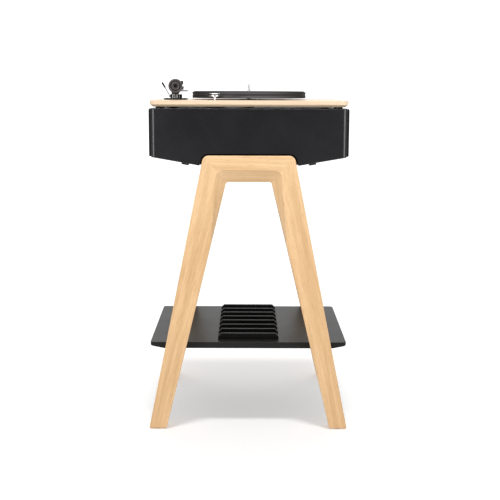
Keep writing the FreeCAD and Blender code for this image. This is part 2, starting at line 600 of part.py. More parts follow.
def a_frames():
    """Two A-frames, each a rail mitred to two legs."""
    foot = "frame_foot_width / 2"
    inner_foot = "opening_foot_width / 2"
    top = "frame_top_width / 2"
    inner_top = "opening_top_width / 2"
    points = [("-" + foot, "glide_height"), ("-" + top, "frame_top"), (top, "frame_top"), (foot, "glide_height"),
              (inner_foot, "glide_height"), (inner_top, "opening_top"), ("-" + inner_top, "opening_top"),
              ("-" + inner_foot, "glide_height")]
    frame = padded("frame_blank", "XZ_Plane", points, "frame_thick")
    place(frame, y="frame_outer")
    level = value("frame_top - rail_height / 2")
    opening = value("opening_top")
    half = value("opening_top_width / 2 + wall / 2")
    dressed(frame, "Fillet", "frame_corner",
            lambda edge: runs(edge, 0, 1, 0) and edge.BoundBox.ZMin > level)
    dressed(frame, "Fillet", "opening_corner",
            lambda edge: runs(edge, 0, 1, 0) and abs(edge.BoundBox.XMin) < half and edge.BoundBox.ZMin < level
            and edge.BoundBox.ZMin > opening - value("overrun"))
    sole = value("glide_height")
    dressed(frame, "Chamfer", "foot_bevel", lambda edge: edge.BoundBox.ZMax < sole + value("seat_gap"))
    ankle = value("glide_height + foot_bevel + seat_gap")
    dressed(frame, "Fillet", "frame_edge",
            lambda edge: edge.BoundBox.YLength < value("seat_gap") and edge.BoundBox.ZMax > ankle)
    carved = cut("frame_carved", frame, carved_bevel())

    over_top = "frame_top_width / 2 + mitre_lean * overrun"
    under_top = "opening_top_width / 2 - mitre_lean * overrun"
    above = "frame_top + overrun"
    below = "opening_top - overrun"
    rail_room = padded("rail_room", "XZ_Plane",
                       [("-(%s)" % over_top, above), (over_top, above),
                        (under_top, below), ("-(%s)" % under_top, below)],
                       "frame_thick + 2 * overrun")
    place(rail_room, y="frame_outer + overrun")
    leg_room = padded("leg_room", "XZ_Plane",
                      [(over_top, above), ("frame_foot_width", above), ("frame_foot_width", "-overrun"),
                       ("0", "-overrun"), ("0", below), (under_top, below)],
                      "frame_thick + 2 * overrun")
    place(leg_room, y="frame_outer + overrun")

    holes = [rod("rail_hole_%d" % side, "bolt_radius + seat_gap", "bolt_grip + overrun",
                 "%d * bolt_spread / 2" % side, "frame_inner - overrun + seat_gap", "bolt_level", ALONG_Y)
             for side in (-1, 1)]
    rail = keep(cut("rear_frame_rail", common("rail_blank", carved, rail_room), *holes))
    right = keep(common("rear_frame_right_leg", carved, leg_room))
    left = keep(mirrored("rear_frame_left_leg", right, (1, 0, 0)))
    for name, source in (("rail", rail), ("right_leg", right), ("left_leg", left)):
        keep(mirrored("front_frame_" + name, source, (0, 1, 0)))

    bolts = []
    for end in (-1, 1):
        for side in (-1, 1):
            name = "bolt_%d" % len(bolts)
            x = "%d * bolt_spread / 2" % side
            facing = ALONG_Y if end > 0 else AGAINST_Y
            shank = rod(name + "_shank", "bolt_radius", "bolt_grip + wall", x,
                        "%d * (frame_inner - wall)" % end, "bolt_level", facing)
            head = rod(name + "_head", "bolt_head_radius", "bolt_head", x,
                       "%d * (frame_inner - wall - bolt_head)" % end, "bolt_level", facing)
            bolts.append(together(name, shank, head))
    keep(group("frame_bolts", *bolts))

    glides = [rod("glide_%d%d" % (x > 0, y > 0), "glide_radius", "glide_height",
                  "%d * foot_middle" % x, "%d * (frame_outer - frame_thick / 2)" % y)
              for x in (-1, 1) for y in (-1, 1)]
    keep(group("foot_glides", *glides))


def cabinet():
    """The loudspeaker cabinet: shell with pockets for the frames, top panel and battens."""
    half = "cabinet_width / 2"
    keel = "keel_width / 2"
    shell_points = [("-" + half, "cabinet_top"), (half, "cabinet_top"), (half, "side_bottom"),
                    (keel, "keel_bottom"), ("-" + keel, "keel_bottom"), ("-" + half, "side_bottom")]
    shell = padded("shell_blank", "XZ_Plane", shell_points, "cabinet_depth", both_ways=True)
    dressed(shell, "Fillet", "cabinet_corner", lambda edge: runs(edge, 0, 0, 1))
    rim = value("cabinet_top - cabinet_edge")
    dressed(shell, "Fillet", "cabinet_edge", lambda edge: edge.BoundBox.ZMin > rim)
    foot = value("side_bottom + cabinet_edge")
    ridge = value("(cabinet_width + keel_width) / 4")
    dressed(shell, "Fillet", "cabinet_edge", lambda edge: edge.BoundBox.ZMax < foot
            and not (runs(edge, 0, 1, 0) and abs(edge.CenterOfMass.x) < ridge))

    cavity_points = [("-cavity_half", "cavity_top + overrun"), ("cavity_half", "cavity_top + overrun"),
                     ("cavity_half", "cavity_side_floor"), (keel, "keel_floor"), ("-" + keel, "keel_floor"),
                     ("-cavity_half", "cavity_side_floor")]
    cavity = padded("cavity", "XZ_Plane", cavity_points, "cabinet_depth - 2 * wall", both_ways=True)

    low = "keel_bottom - overrun"
    low_half = "pocket_top_half + leg_lean * (pocket_top - keel_bottom + overrun)"
    pocket_points = [("-(%s)" % low_half, low), ("-pocket_top_half", "pocket_top"),
                     ("pocket_top_half", "pocket_top"), (low_half, low)]
    pocket = padded("rear_pocket", "XZ_Plane", pocket_points, "cabinet_depth / 2 + overrun - frame_inner")
    place(pocket, y="cabinet_depth / 2 + overrun")
    level = value("(pocket_top + keel_bottom) / 2")
    dressed(pocket, "Fillet", "frame_corner + shadow_gap",
            lambda edge: runs(edge, 0, 1, 0) and edge.BoundBox.ZMin > level)
    housing_points = [("-(%s + wall)" % low_half, low), ("-(pocket_top_half + wall)", "pocket_top + wall"),
                      ("pocket_top_half + wall", "pocket_top + wall"), ("%s + wall" % low_half, low)]
    housing = padded("rear_pocket_wall", "XZ_Plane", housing_points, "cabinet_depth / 2 - frame_inner + wall")
    place(housing, y="cabinet_depth / 2")
    room = cut("cavity_room", cavity, housing, mirrored("front_pocket_wall", housing, (0, 1, 0)))

    rabbet = block("panel_rabbet", "cabinet_width - 2 * panel_ledge", "cabinet_depth - 2 * panel_ledge",
                   "panel_thick + overrun", z="cavity_top")
    holes = [rod("bolt_hole_%d%d" % (side > 0, end > 0), "bolt_radius + seat_gap", "wall + 2 * overrun",
                 "%d * bolt_spread / 2" % side, "%d * (frame_inner - wall / 2) - wall / 2 - overrun" % end,
                 "bolt_level", ALONG_Y)
             for side in (-1, 1) for end in (-1, 1)]
    for side in (-1, 1):
        for end in (-1, 1):
            holes.append(block("bolt_recess_%d%d" % (side > 0, end > 0), "2 * (bolt_head_radius + bolt_air)",
                               "bolt_access", "wall", "%d * bolt_spread / 2" % side,
                               "%d * (frame_inner - wall - bolt_access / 2)" % end,
                               "bolt_level - bolt_head_radius - bolt_air"))
    for side, turn in (("right", ALONG_X), ("left", AGAINST_X)):
        sign = 1 if side == "right" else -1
        start = "%d * (cavity_half - overrun)" % sign
        for end in (-1, 1):
            holes.append(rod("%s_woofer_hole_%d" % (side, end > 0), "%s * woofer_radius + seat_gap" % WOOFER_HOLE_SHARE,
                             "wall + 2 * overrun", start, "%d * woofer_spread / 2" % end, "side_middle", turn))
        holes.append(rod(side + "_tweeter_hole", "%s * tweeter_radius + seat_gap" % TWEETER_HOLE_SHARE,
                         "wall + 2 * overrun", start, 0, "side_middle", turn))
    holes.append(block("inlet_hole", "inlet_width + 2 * seat_gap", "inlet_length + 2 * seat_gap",
                       "wall + 2 * overrun", "inlet_x", "inlet_y", "keel_bottom - overrun"))
    for side in (-1, 1):
        holes.append(rod("jack_hole_%d" % (side > 0), "jack_radius + seat_gap", "wall + 2 * overrun",
                         "jack_x + %d * jack_pitch / 2" % side, "inlet_y", "keel_bottom - overrun"))
    keep(cut("cabinet_shell", shell, room, rabbet, pocket, mirrored("front_pocket", pocket, (0, 1, 0)), *holes))

    panel = block("panel_blank", "cabinet_width - 2 * panel_ledge - 2 * seat_gap",
                  "cabinet_depth - 2 * panel_ledge - 2 * seat_gap", "panel_thick", z="cavity_top")
    bearing_hole = rod("panel_bearing_hole", "bearing_radius + overrun", "panel_thick + 2 * overrun",
                       z="cavity_top - overrun")
    motor_hole = rod("panel_motor_hole", "motor_flange_radius + damper_height", "panel_thick + 2 * overrun",
                     "motor_x", "motor_y", "cavity_top - overrun")
    keep(cut("top_panel", panel, bearing_hole, motor_hole))

    middle = "batten_spread / 2"
    inner = "%s - batten_width / 2" % middle
    outer = "%s + batten_width / 2" % middle
    inner_level = "keel_bottom + slope * (%s - keel_width / 2)" % inner
    outer_level = "keel_bottom + slope * (%s - keel_width / 2)" % outer
    batten = padded("right_batten", "XZ_Plane",
                    [(inner, inner_level), (outer, outer_level), (outer, outer_level + " - batten_height"),
                     (inner, inner_level + " - batten_height")], "batten_length", both_ways=True)
    keep(group("underside_battens", batten, mirrored("left_batten", batten, (1, 0, 0))))


def loudspeakers():
    """Woofers, tweeter and grille on each side."""
    for side, turn in (("right", ALONG_X), ("left", AGAINST_X)):
        sign = 1 if side == "right" else -1
        face = "%d * cabinet_width / 2" % sign
        baskets = []
        cones = []
        for end in (-1, 1):
            y = "%d * woofer_spread / 2" % end
            tag = "%s_%d" % (side, end > 0)
            basket = turned_shares("basket_" + tag, BASKET_SHARES, "woofer_radius", "woofer_depth")
            baskets.append(place(basket, face, y, "side_middle", turn))
            cone = turned_shares("cone_" + tag, CONE_SHARES, "woofer_radius", "woofer_depth")
            cones.append(place(cone, face, y, "side_middle", turn))
        keep(group(side + "_woofer_baskets", *baskets))
        keep(group(side + "_woofer_cones", *cones))
        tweeter = turned_shares(side + "_tweeter", TWEETER_SHARES, "tweeter_radius", "tweeter_depth")
        keep(place(tweeter, face, 0, "side_middle", turn))

        blank = plate(side + "_grille_blank", "grille_height", "grille_length", "grille_thick", "grille_corner")
        window = plate(side + "_grille_window", "grille_height - 2 * grille_rim", "grille_length - 2 * grille_rim",
                       "grille_thick + 2 * overrun", "grille_corner / 2")
        place(blank, face, 0, "side_middle", turn)
        place(window, "%s - %d * overrun" % (face, sign), 0, "side_middle", turn)
        keep(cut(side + "_grille_frame", blank, window))
        cloth = plate(side + "_grille_cloth", "grille_height", "grille_length", "cloth_thick", "grille_corner")
        keep(place(cloth, "%s + %d * grille_thick" % (face, sign), 0, "side_middle", turn))


def record_shelf():
    """The shelf between the frames, its brackets and the dividers that keep records apart."""
    blank = plate("shelf_blank", "shelf_width", "2 * frame_inner", "shelf_thick", "shelf_corner")
    dressed(blank, "Fillet", "shelf_edge",
            lambda edge: edge.BoundBox.ZMin > STRAIGHT_SHARE * value("shelf_thick"))
    half = "shelf_width / 2"
    low_half = "shelf_width / 2 - shelf_bevel"
    profile = [("-" + half, "shelf_thick"), (half, "shelf_thick"), (half, "shelf_bevel_rise"), (low_half, "0"),
               ("-(%s)" % low_half, "0"), ("-" + half, "shelf_bevel_rise")]
    bevelled = padded("shelf_profile", "XZ_Plane", profile, "2 * frame_inner", both_ways=True)
    keep(place(common("shelf_board", blank, bevelled), z="shelf_bottom"))

    back = "frame_inner"
    profile = [(back, "shelf_bottom"), (back + " - bracket_reach", "shelf_bottom"),
               (back + " - bracket_reach", "shelf_bottom - bracket_thick"),
               (back + " - bracket_thick", "shelf_bottom - bracket_thick"),
               (back + " - bracket_thick", "shelf_bottom - bracket_reach"), (back, "shelf_bottom - bracket_reach")]
    first = padded("bracket_0", "YZ_Plane", profile, "bracket_width", both_ways=True)
    place(first, x="bracket_x")
    second = mirrored("bracket_1", first, (1, 0, 0))
    third = mirrored("bracket_2", first, (0, 1, 0))
    fourth = mirrored("bracket_3", second, (0, 1, 0))
    keep(group("shelf_brackets", first, second, third, fourth))

    half = "divider_length / 2"
    profile = [("-" + half, "0"), (half, "0"), (half, "divider_height - divider_chamfer"),
               (half + " - divider_chamfer", "divider_height"), ("-(%s - divider_chamfer)" % half, "divider_height"),
               ("-" + half, "divider_height - divider_chamfer")]
    for index in range(DIVIDER_COUNT):
        divider = padded("record_divider_%d" % (index + 1), "XZ_Plane", profile, "divider_thick", both_ways=True)
        top = value("divider_height") * STRAIGHT_SHARE
        dressed(divider, "Fillet", "divider_edge",
                lambda edge: runs(edge, 1, 0, 0) and edge.BoundBox.ZMin > top)
        keep(place(divider, 0, "frame_inner - divider_inset - %d * divider_pitch" % index, "shelf_level"))


def turntable():
    """Plate, dampers, bearing, platter, motor, pulley and belt."""
    blank = plate("turntable_blank", "plinth_width", "plinth_depth", "plinth_thick", "plinth_corner")
    dressed(blank, "Chamfer", "plinth_bevel",
            lambda edge: edge.BoundBox.ZMax < EDGE_SHARE * value("plinth_thick"), "plinth_bevel_rise")
    dressed(blank, "Fillet", "plinth_edge",
            lambda edge: edge.BoundBox.ZMin > STRAIGHT_SHARE * value("plinth_thick"))
    place(blank, z="plinth_bottom")
    bearing_hole = rod("plate_bearing_hole", "bearing_radius + seat_gap", "plinth_thick + 2 * overrun",
                       z="plinth_bottom - overrun")
    motor_hole = rod("plate_motor_hole", "pulley_stem_radius + platter_gap", "plinth_thick + 2 * overrun",
                     "motor_x", "motor_y", "plinth_bottom - overrun")
    keep(cut("turntable_plate", blank, bearing_hole, motor_hole))

    dampers = [rod("damper_%d%d" % (x > 0, y > 0), "damper_radius", "damper_height",
                   "%d * (plinth_width / 2 - damper_inset)" % x, "%d * (plinth_depth / 2 - damper_inset)" % y,
                   "cabinet_top")
               for x in (-1, 1) for y in (-1, 1)]
    keep(group("plate_dampers", *dampers))

    bore = "shaft_radius + running_gap"
    well = "bearing_bottom + bearing_floor"
    keep(turned("bearing_housing",
                [(bore, "plinth_top + bearing_flange"), ("bearing_flange_radius", "plinth_top + bearing_flange"),
                 ("bearing_flange_radius", "plinth_top"), ("bearing_radius", "plinth_top"),
                 ("bearing_radius", "bearing_bottom"), ("0", "bearing_bottom"), ("0", well), (bore, well)]))
    tip = "mat_top + spindle_rise"
    keep(turned("platter_spindle",
                [("0", well + " + thrust_gap"), ("shaft_radius", well + " + thrust_gap"),
                 ("shaft_radius", "platter_bottom"), ("spindle_root", "platter_bottom"),
                 ("spindle_root", "mat_top - mat_label_depth"), ("spindle_radius", "mat_top - mat_label_depth"),
                 ("spindle_radius", tip + " - spindle_tip"), ("spindle_radius / 2", tip), ("0", tip)]))

    bore = "spindle_root + seat_gap"
    keep(turned("platter",
                [(bore, "platter_bottom"), ("platter_hub", "platter_bottom"),
                 ("platter_hub", "platter_bottom + platter_hollow"),
                 ("platter_radius - platter_rim", "platter_bottom + platter_hollow"),
                 ("platter_radius - platter_rim", "platter_bottom"),
                 ("platter_radius - platter_edge", "platter_bottom"),
                 ("platter_radius", "platter_bottom + platter_edge"), ("platter_radius", "groove_bottom"),
                 ("groove_radius", "groove_bottom"), ("groove_radius", "groove_top"),
                 ("platter_radius", "groove_top"), ("platter_radius", "platter_top - platter_edge"),
                 ("platter_radius - platter_edge", "platter_top"), (bore, "platter_top")]))
    keep(turned("platter_mat",
                [(bore, "platter_top"), ("mat_radius", "platter_top"), ("mat_radius", "mat_top"),
                 ("mat_label_radius", "mat_top"), ("mat_label_radius", "mat_top - mat_label_depth"),
                 (bore, "mat_top - mat_label_depth")]))

    bore = "motor_shaft_radius + running_gap"
    deep = "plinth_bottom - motor_shaft_depth - thrust_gap"
    can_bottom = "plinth_bottom - motor_flange - motor_depth"
    motor = turned("motor_body",
                   [(bore, "plinth_bottom"), ("motor_flange_radius", "plinth_bottom"),
                    ("motor_flange_radius", "plinth_bottom - motor_flange"),
                    ("motor_radius", "plinth_bottom - motor_flange"), ("motor_radius", can_bottom),
                    ("0", can_bottom), ("0", deep), (bore, deep)])
    keep(place(motor, "motor_x", "motor_y"))
    stem = "plinth_top + pulley_stem_gap"
    top = "groove_top + pulley_flange"
    pulley = turned("motor_pulley",
                    [("0", "plinth_bottom - motor_shaft_depth"),
                     ("motor_shaft_radius", "plinth_bottom - motor_shaft_depth"), ("motor_shaft_radius", stem),
                     ("pulley_stem_radius", stem), ("pulley_stem_radius", "groove_bottom - pulley_flange"),
                     ("pulley_radius", "groove_bottom - pulley_flange"), ("pulley_radius", "groove_bottom"),
                     ("pulley_groove_radius", "groove_bottom"), ("pulley_groove_radius", "groove_top"),
                     ("pulley_radius", "groove_top"), ("pulley_radius", top + " - platter_edge"),
                     ("pulley_radius - platter_edge", top), ("0", top)])
    keep(place(pulley, "motor_x", "motor_y"))
    keep(drive_belt())


def belt_loop(large, small, level):
    """The face inside a belt line that runs round the platter and the pulley."""
    x = value("motor_x")
    y = value("motor_y")
    heading = math.atan2(y, x)
    spread = math.acos((large - small) / math.hypot(x, y))

    def spot(centre_x, centre_y, radius, angle):
        return FreeCAD.Vector(centre_x + radius * math.cos(angle), centre_y + radius * math.sin(angle), level)

    start = spot(0, 0, large, heading + spread)
    end = spot(0, 0, large, heading - spread)
    small_start = spot(x, y, small, heading - spread)
    small_end = spot(x, y, small, heading + spread)
    edges = [Part.Arc(start, spot(0, 0, large, heading + math.pi), end).toShape(),
             Part.LineSegment(end, small_start).toShape(),
             Part.Arc(small_start, spot(x, y, small, heading), small_end).toShape(),
             Part.LineSegment(small_end, start).toShape()]
    return Part.Face(Part.Wire(edges))


def drive_belt():
    """A flat endless belt, a hair clear of both grooves."""
    level = value("(groove_bottom + groove_top - belt_width) / 2")
    large = value("groove_radius + belt_gap")
    small = value("pulley_groove_radius + belt_gap")
    thick = value("belt_thick")
    ring = belt_loop(large + thick, small + thick, level).cut(belt_loop(large, small, level))
    belt = doc.addObject("Part::Feature", "drive_belt")
    belt.Shape = ring.Faces[0].extrude(FreeCAD.Vector(0, 0, value("belt_width")))
    return belt


def on_rest(piece):
    """Put a piece that is built round the arm's upright axis at the arm's place, turned as on its rest."""
    return keep(place(piece, "arm_x", "arm_y", 0, upright_turn(value("arm_turn"))))


def tonearm():
    """Base, pillar, yoke, arm, headshell, cartridge and counterweight."""
    base = turned("arm_base",
                  [("0", "plinth_top"), ("arm_base_radius", "plinth_top"),
                   ("arm_base_radius", "arm_base_top - platter_edge"),
                   ("arm_base_radius - platter_edge", "arm_base_top"), ("0", "arm_base_top")])
    keep(place(base, "arm_x", "arm_y"))
    bore = "pivot_radius + running_gap"
    well = "pillar_top - pivot_depth - thrust_gap"
    pillar = turned("arm_pillar",
                    [("0", "arm_base_top"), ("pillar_radius", "arm_base_top"), ("pillar_radius", "pillar_top"),
                     (bore, "pillar_top"), (bore, well), ("0", well)])
    keep(place(pillar, "arm_x", "arm_y"))

    half = "yoke_width / 2"
    foot = "yoke_foot_width / 2"
    yoke = padded("yoke_blank", "XZ_Plane",
                  [("-" + foot, "yoke_bottom"), (foot, "yoke_bottom"), (half, "yoke_bottom + yoke_flare"),
                   (half, "yoke_crown"), ("yoke_slot_half", "yoke_crown"), ("yoke_slot_half", "yoke_slot_floor"),
                   ("-yoke_slot_half", "yoke_slot_floor"), ("-yoke_slot_half", "yoke_crown"),
                   ("-" + half, "yoke_crown"), ("-" + half, "yoke_bottom + yoke_flare")], "yoke_depth",
                  both_ways=True)
    stub = rod("yoke_pivot", "pivot_radius", "pivot_depth + moving_gap + yoke_flare / 2",
               z="pillar_top - pivot_depth")
    ear = block("yoke_ear", "yoke_cheek + skate_ear", "yoke_depth", "skate_ear_thick",
                "-(yoke_width / 2 - yoke_cheek / 2 + skate_ear / 2)", 0, "yoke_crown - skate_ear_thick")
    stem = rod("yoke_stem", "skate_rod_radius", "skate_ear_thick / 2 + skate_knob_cover", "-skate_rod_x", 0,
               "yoke_crown - skate_ear_thick / 2")
    pin_hole = rod("yoke_pin_hole", "pin_radius + running_gap", "yoke_width + 2 * overrun",
                   "-yoke_width / 2 - overrun", 0, "arm_axis", ALONG_X)
    on_rest(cut("arm_yoke", together("yoke_with_pivot", yoke, stub, ear, stem), pin_hole))

    pivot = block("pivot_blank", "2 * (yoke_slot_half - moving_gap)", "block_length", "block_height",
                  z="arm_axis - block_height / 2")
    pin = rod("pivot_pin", "pin_radius", "yoke_width", "-yoke_width / 2", 0, "arm_axis", ALONG_X)
    tube_hole = rod("pivot_tube_hole", "tube_radius + seat_gap", "block_length + 2 * overrun", 0,
                    "-block_length / 2 - overrun", "arm_axis", ALONG_Y)
    on_rest(cut("arm_pivot_block", together("pivot_with_pin", pivot, pin), tube_hole))

    along_arm = upright_turn(value("arm_turn")).multiply(ALONG_Y)
    keep(rod("arm_tube", "tube_radius", "tube_front + tube_rear", "arm_x + tube_front * sin(arm_turn)",
             "arm_y - tube_front * cos(arm_turn)", "arm_axis", along_arm))

    front = "weight_offset"
    rear = "weight_offset + weight_length"
    ring_outer = "%s * weight_radius" % WEIGHT_RING_SHARES[0]
    ring_inner = "%s * weight_radius" % WEIGHT_RING_SHARES[1]
    bore = "tube_radius + running_gap"
    weight = turned("counterweight",
                    [(bore, front), ("weight_radius - weight_groove", front),
                     ("weight_radius", front + " + weight_groove"), ("weight_radius", rear + " - weight_groove"),
                     ("weight_radius - weight_groove", rear), (ring_outer, rear),
                     (ring_outer, rear + " - weight_groove"), (ring_inner, rear + " - weight_groove"),
                     (ring_inner, rear), (bore, rear)])
    keep(place(weight, "arm_x", "arm_y", "arm_axis", along_arm))

    offset = upright_turn(-value("shell_angle"))
    half = "shell_width / 2"
    neck = "collar_radius"
    finger = "shell_length - finger_inset"
    shell = padded("shell_plate", "XY_Plane",
                   [("-" + neck, "collar_length / 4"), (neck, "collar_length / 4"), (half, "-collar_length"),
                    (half, "finger_width - (%s)" % finger), (half + " + finger_length", "finger_width - (%s)" % finger),
                    (half + " + finger_length", "-(%s)" % finger), (half, "-(%s)" % finger), (half, "-shell_length"),
                    ("-" + half, "-shell_length"), ("-" + half, "-collar_length")], "shell_thick")
    place(shell, 0, "-tube_front", "shell_bottom", offset)
    collar = rod("shell_collar", "collar_radius", "collar_length", 0, "-tube_front - collar_length / 4", "arm_axis",
                 ALONG_Y)
    socket = rod("shell_socket", "tube_radius + seat_gap", "collar_length", 0, "-tube_front", "arm_axis", ALONG_Y)
    on_rest(cut("headshell", together("shell_with_collar", shell, collar), socket))

    half = "cartridge_width / 2"
    rear = "-(shell_length - finger_inset / 2 - cartridge_length)"
    ahead = "-(shell_length - finger_inset / 2)"
    cartridge = padded("cartridge_case", "XY_Plane",
                       [("-" + half, rear), (half, rear), (half, ahead), ("-" + half, ahead)], "cartridge_height")
    place(cartridge, 0, "-tube_front", "shell_bottom - cartridge_height", offset)
    stylus = doc.addObject("Part::Cone", "stylus")
    bind(stylus, Radius1="stylus_radius / 8", Radius2="stylus_radius", Height="stylus_height")
    place(stylus, "-stylus_reach * sin(shell_angle)", "-tube_front - stylus_reach * cos(shell_angle)",
          "shell_bottom - cartridge_height - stylus_height")
    on_rest(together("cartridge", cartridge, stylus))


def arm_fittings():
    """Arm rest, lift with its lever, and anti-skating post with its knob."""
    post = rod("rest_post", "rest_radius", "rest_top - rest_thick / 2 - plinth_top", 0, "-rest_ahead", "plinth_top")
    saddle = block("rest_saddle", "rest_width", "rest_depth", "rest_thick", 0, "-rest_ahead",
                   "rest_top - rest_thick")
    lip = block("rest_lip", "rest_lip_thick", "rest_depth", "rest_lip + rest_thick",
                "rest_width / 2 - rest_lip_thick / 2", "-rest_ahead", "rest_top - rest_thick")
    on_rest(together("arm_rest", post, saddle, lip))

    housing = block("lift_blank", "lift_width", "lift_length", "lift_height", "lift_x", "lift_y", "plinth_top")
    post_hole = rod("lift_post_hole", "lift_post_radius + running_gap", "lift_height + overrun", "lift_x",
                    "lift_post_y", "plinth_top + lift_floor")
    axle_hole = rod("lift_axle_hole", "lever_axle_radius + running_gap", "lift_width / 2 + moving_gap + overrun",
                    "lift_x - moving_gap", "lever_axle_y", "lever_axle_level", ALONG_X)
    keep(cut("lift_housing", housing, post_hole, axle_hole))

    reach_x = value("lift_x - arm_x")
    reach_y = value("lift_post_y - arm_y")
    radius = math.hypot(reach_x, reach_y)
    half_width = value("lift_bar_width") / 2
    overhang = math.degrees(half_width / radius) * 2
    middle = math.degrees(math.atan2(reach_y, reach_x)) + overhang - value("lift_bar_sweep") / 2
    reach = "sqrt((lift_x - arm_x)^2 + (lift_post_y - arm_y)^2)"
    inner = reach + " - lift_bar_width / 2"
    outer = reach + " + lift_bar_width / 2"
    low = "lift_bar_top - lift_bar_thick"
    bar = turned("lift_arc", [(inner, low), (outer, low), (outer, "lift_bar_top"), (inner, "lift_bar_top")],
                 "lift_bar_sweep")
    doc.getObject("lift_arc_turning").Midplane = True
    place(bar, "arm_x", "arm_y", 0, upright_turn(middle))
    lift_post = rod("lift_post", "lift_post_radius",
                    "lift_bar_top - lift_bar_thick / 2 - plinth_top - lift_floor - thrust_gap", "lift_x",
                    "lift_post_y", "plinth_top + lift_floor + thrust_gap")
    keep(together("lift_bar", bar, lift_post))

    axle = rod("lever_axle", "lever_axle_radius", "lift_width / 2 + moving_gap + lever_hub_thick", "lift_x",
               "lever_axle_y", "lever_axle_level", ALONG_X)
    hub = rod("lever_hub", "lever_hub_radius", "lever_hub_thick", "lever_hub_x", "lever_axle_y",
              "lever_axle_level", ALONG_X)
    lean = FreeCAD.Rotation(FreeCAD.Vector(0, 1, 0), value("lever_lean"))
    middle_x = "lever_hub_x + lever_hub_thick / 2"
    lever = rod("lever_rod", "lever_rod_radius", "lever_length", middle_x, "lever_axle_y", "lever_axle_level", lean)
    along = "(lever_length - lever_grip_length)"
    grip = rod("lever_grip", "lever_grip_radius", "lever_grip_length",
               "%s + %s * sin(lever_lean)" % (middle_x, along), "lever_axle_y",
               "lever_axle_level + %s * cos(lever_lean)" % along, lean)
    keep(together("cue_lever", axle, hub, lever, grip))

    post = block("skate_block", "skate_width", "skate_length", "skate_height", "skate_x", "skate_y", "arm_base_top")
    screw = rod("skate_screw", "skate_screw_radius", "skate_screw + skate_length / 2", "skate_x", "skate_y",
                "arm_base_top + skate_height / 2", ALONG_Y)
    keep(together("antiskate_post", post, screw))
    bore = "skate_rod_radius + running_gap"
    roof = "skate_knob_cover + thrust_gap"
    knob = turned("antiskate_knob",
                  [(bore, "0"), ("skate_knob_radius", "0"), ("skate_knob_radius", "skate_knob_height - platter_edge"),
                   ("skate_knob_radius - platter_edge", "skate_knob_height"), ("0", "skate_knob_height"),
                   ("0", roof), (bore, roof)])
    keep(place(knob, "arm_x - skate_rod_x * cos(arm_turn)", "arm_y - skate_rod_x * sin(arm_turn)",
               "skate_knob_bottom"))


def electronics():
    """Transformer, amplifier, power inlet with its switch, and audio sockets."""
    edge = "wall / 4"
    ring = turned("mains_transformer",
                  [("transformer_bore", "0"), ("transformer_radius - %s" % edge, "0"), ("transformer_radius", edge),
                   ("transformer_radius", "transformer_height - %s" % edge),
                   ("transformer_radius - %s" % edge, "transformer_height"),
                   ("transformer_bore", "transformer_height")])
    keep(place(ring, "transformer_x", 0, "keel_floor"))

    pieces = [block("board", "board_width", "board_length", "board_thick", "board_x", 0, "board_bottom")]
    for x in (-1, 1):
        for y in (-1, 1):
            pieces.append(rod("standoff_%d%d" % (x > 0, y > 0), "standoff_radius", "standoff_height",
                              "board_x + %d * (board_width / 2 - 2 * standoff_radius)" % x,
                              "%d * (board_length / 2 - 2 * standoff_radius)" % y, "keel_floor"))
    for y in (-1, 1):
        pieces.append(rod("capacitor_%d" % (y > 0), "capacitor_radius", "capacitor_height",
                          "board_x - board_width / 4", "%d * board_length / 4" % y, "board_top"))
    keep(together("amplifier_board", *pieces))

    sink_x = "board_x + board_width / 4"
    fins = [block("sink_foot", "sink_width", "sink_length", "sink_base", sink_x, 0, "board_top")]
    for index, share in enumerate(FIN_SHARES):
        fins.append(block("sink_fin_%d" % index, "sink_fin", "sink_length", "sink_height",
                          "%s - sink_width / 2 + sink_fin / 2 + %s * (sink_width - sink_fin)" % (sink_x, share),
                          0, "board_top"))
    keep(together("heat_sink", *fins))

    case = block("inlet_case", "inlet_width", "inlet_length", "inlet_depth", "inlet_x", "inlet_y", "keel_bottom")
    flange = block("inlet_rim", "inlet_width + 2 * inlet_flange", "inlet_length + 2 * inlet_flange",
                   "inlet_flange_thick", "inlet_x", "inlet_y", "keel_bottom - inlet_flange_thick")
    recess = block("inlet_recess", "socket_width", "socket_length", "socket_depth + overrun", "socket_x", "inlet_y",
                   "keel_bottom - overrun")
    room = block("rocker_room", "rocker_width + 2 * moving_gap", "rocker_length + 2 * rocker_air",
                 "rocker_height + rocker_air + overrun", "rocker_x", "inlet_y", "rocker_bottom - overrun")
    pin_hole = rod("rocker_pin_hole", "rocker_pin_radius + running_gap", "rocker_pin_length + 2 * moving_gap",
                   "rocker_x - rocker_pin_length / 2 - moving_gap", "inlet_y", "rocker_level", ALONG_X)
    keep(cut("power_inlet", together("inlet_blank", case, flange), recess, room, pin_hole))
    half = "rocker_length / 2"
    rocker = padded("rocker", "YZ_Plane",
                    [("-" + half, "rocker_bottom + rocker_height"), (half, "rocker_bottom + rocker_height"),
                     (half, "rocker_bottom"), ("0", "rocker_bottom + rocker_dip"), ("-" + half, "rocker_bottom")],
                    "rocker_width", both_ways=True)
    place(rocker, "rocker_x", "inlet_y")
    pin = rod("rocker_pin", "rocker_pin_radius", "rocker_pin_length", "rocker_x - rocker_pin_length / 2", "inlet_y",
              "rocker_level", ALONG_X)
    keep(together("power_switch", rocker, pin))

    jacks = []
    for side in (-1, 1):
        jack = turned("jack_%d" % (side > 0),
                      [("jack_bore", "-jack_proud"), ("jack_radius", "-jack_proud"), ("jack_radius", "-jack_flange"),
                       ("jack_flange_radius", "-jack_flange"), ("jack_flange_radius", "0"), ("jack_radius", "0"),
                       ("jack_radius", "jack_length"), ("0", "jack_length"), ("0", "jack_length / 2"),
                       ("jack_bore", "jack_length / 2")])
        jacks.append(place(jack, "jack_x + %d * jack_pitch / 2" % side, "inlet_y", "keel_bottom"))
    keep(group("audio_sockets", *jacks))


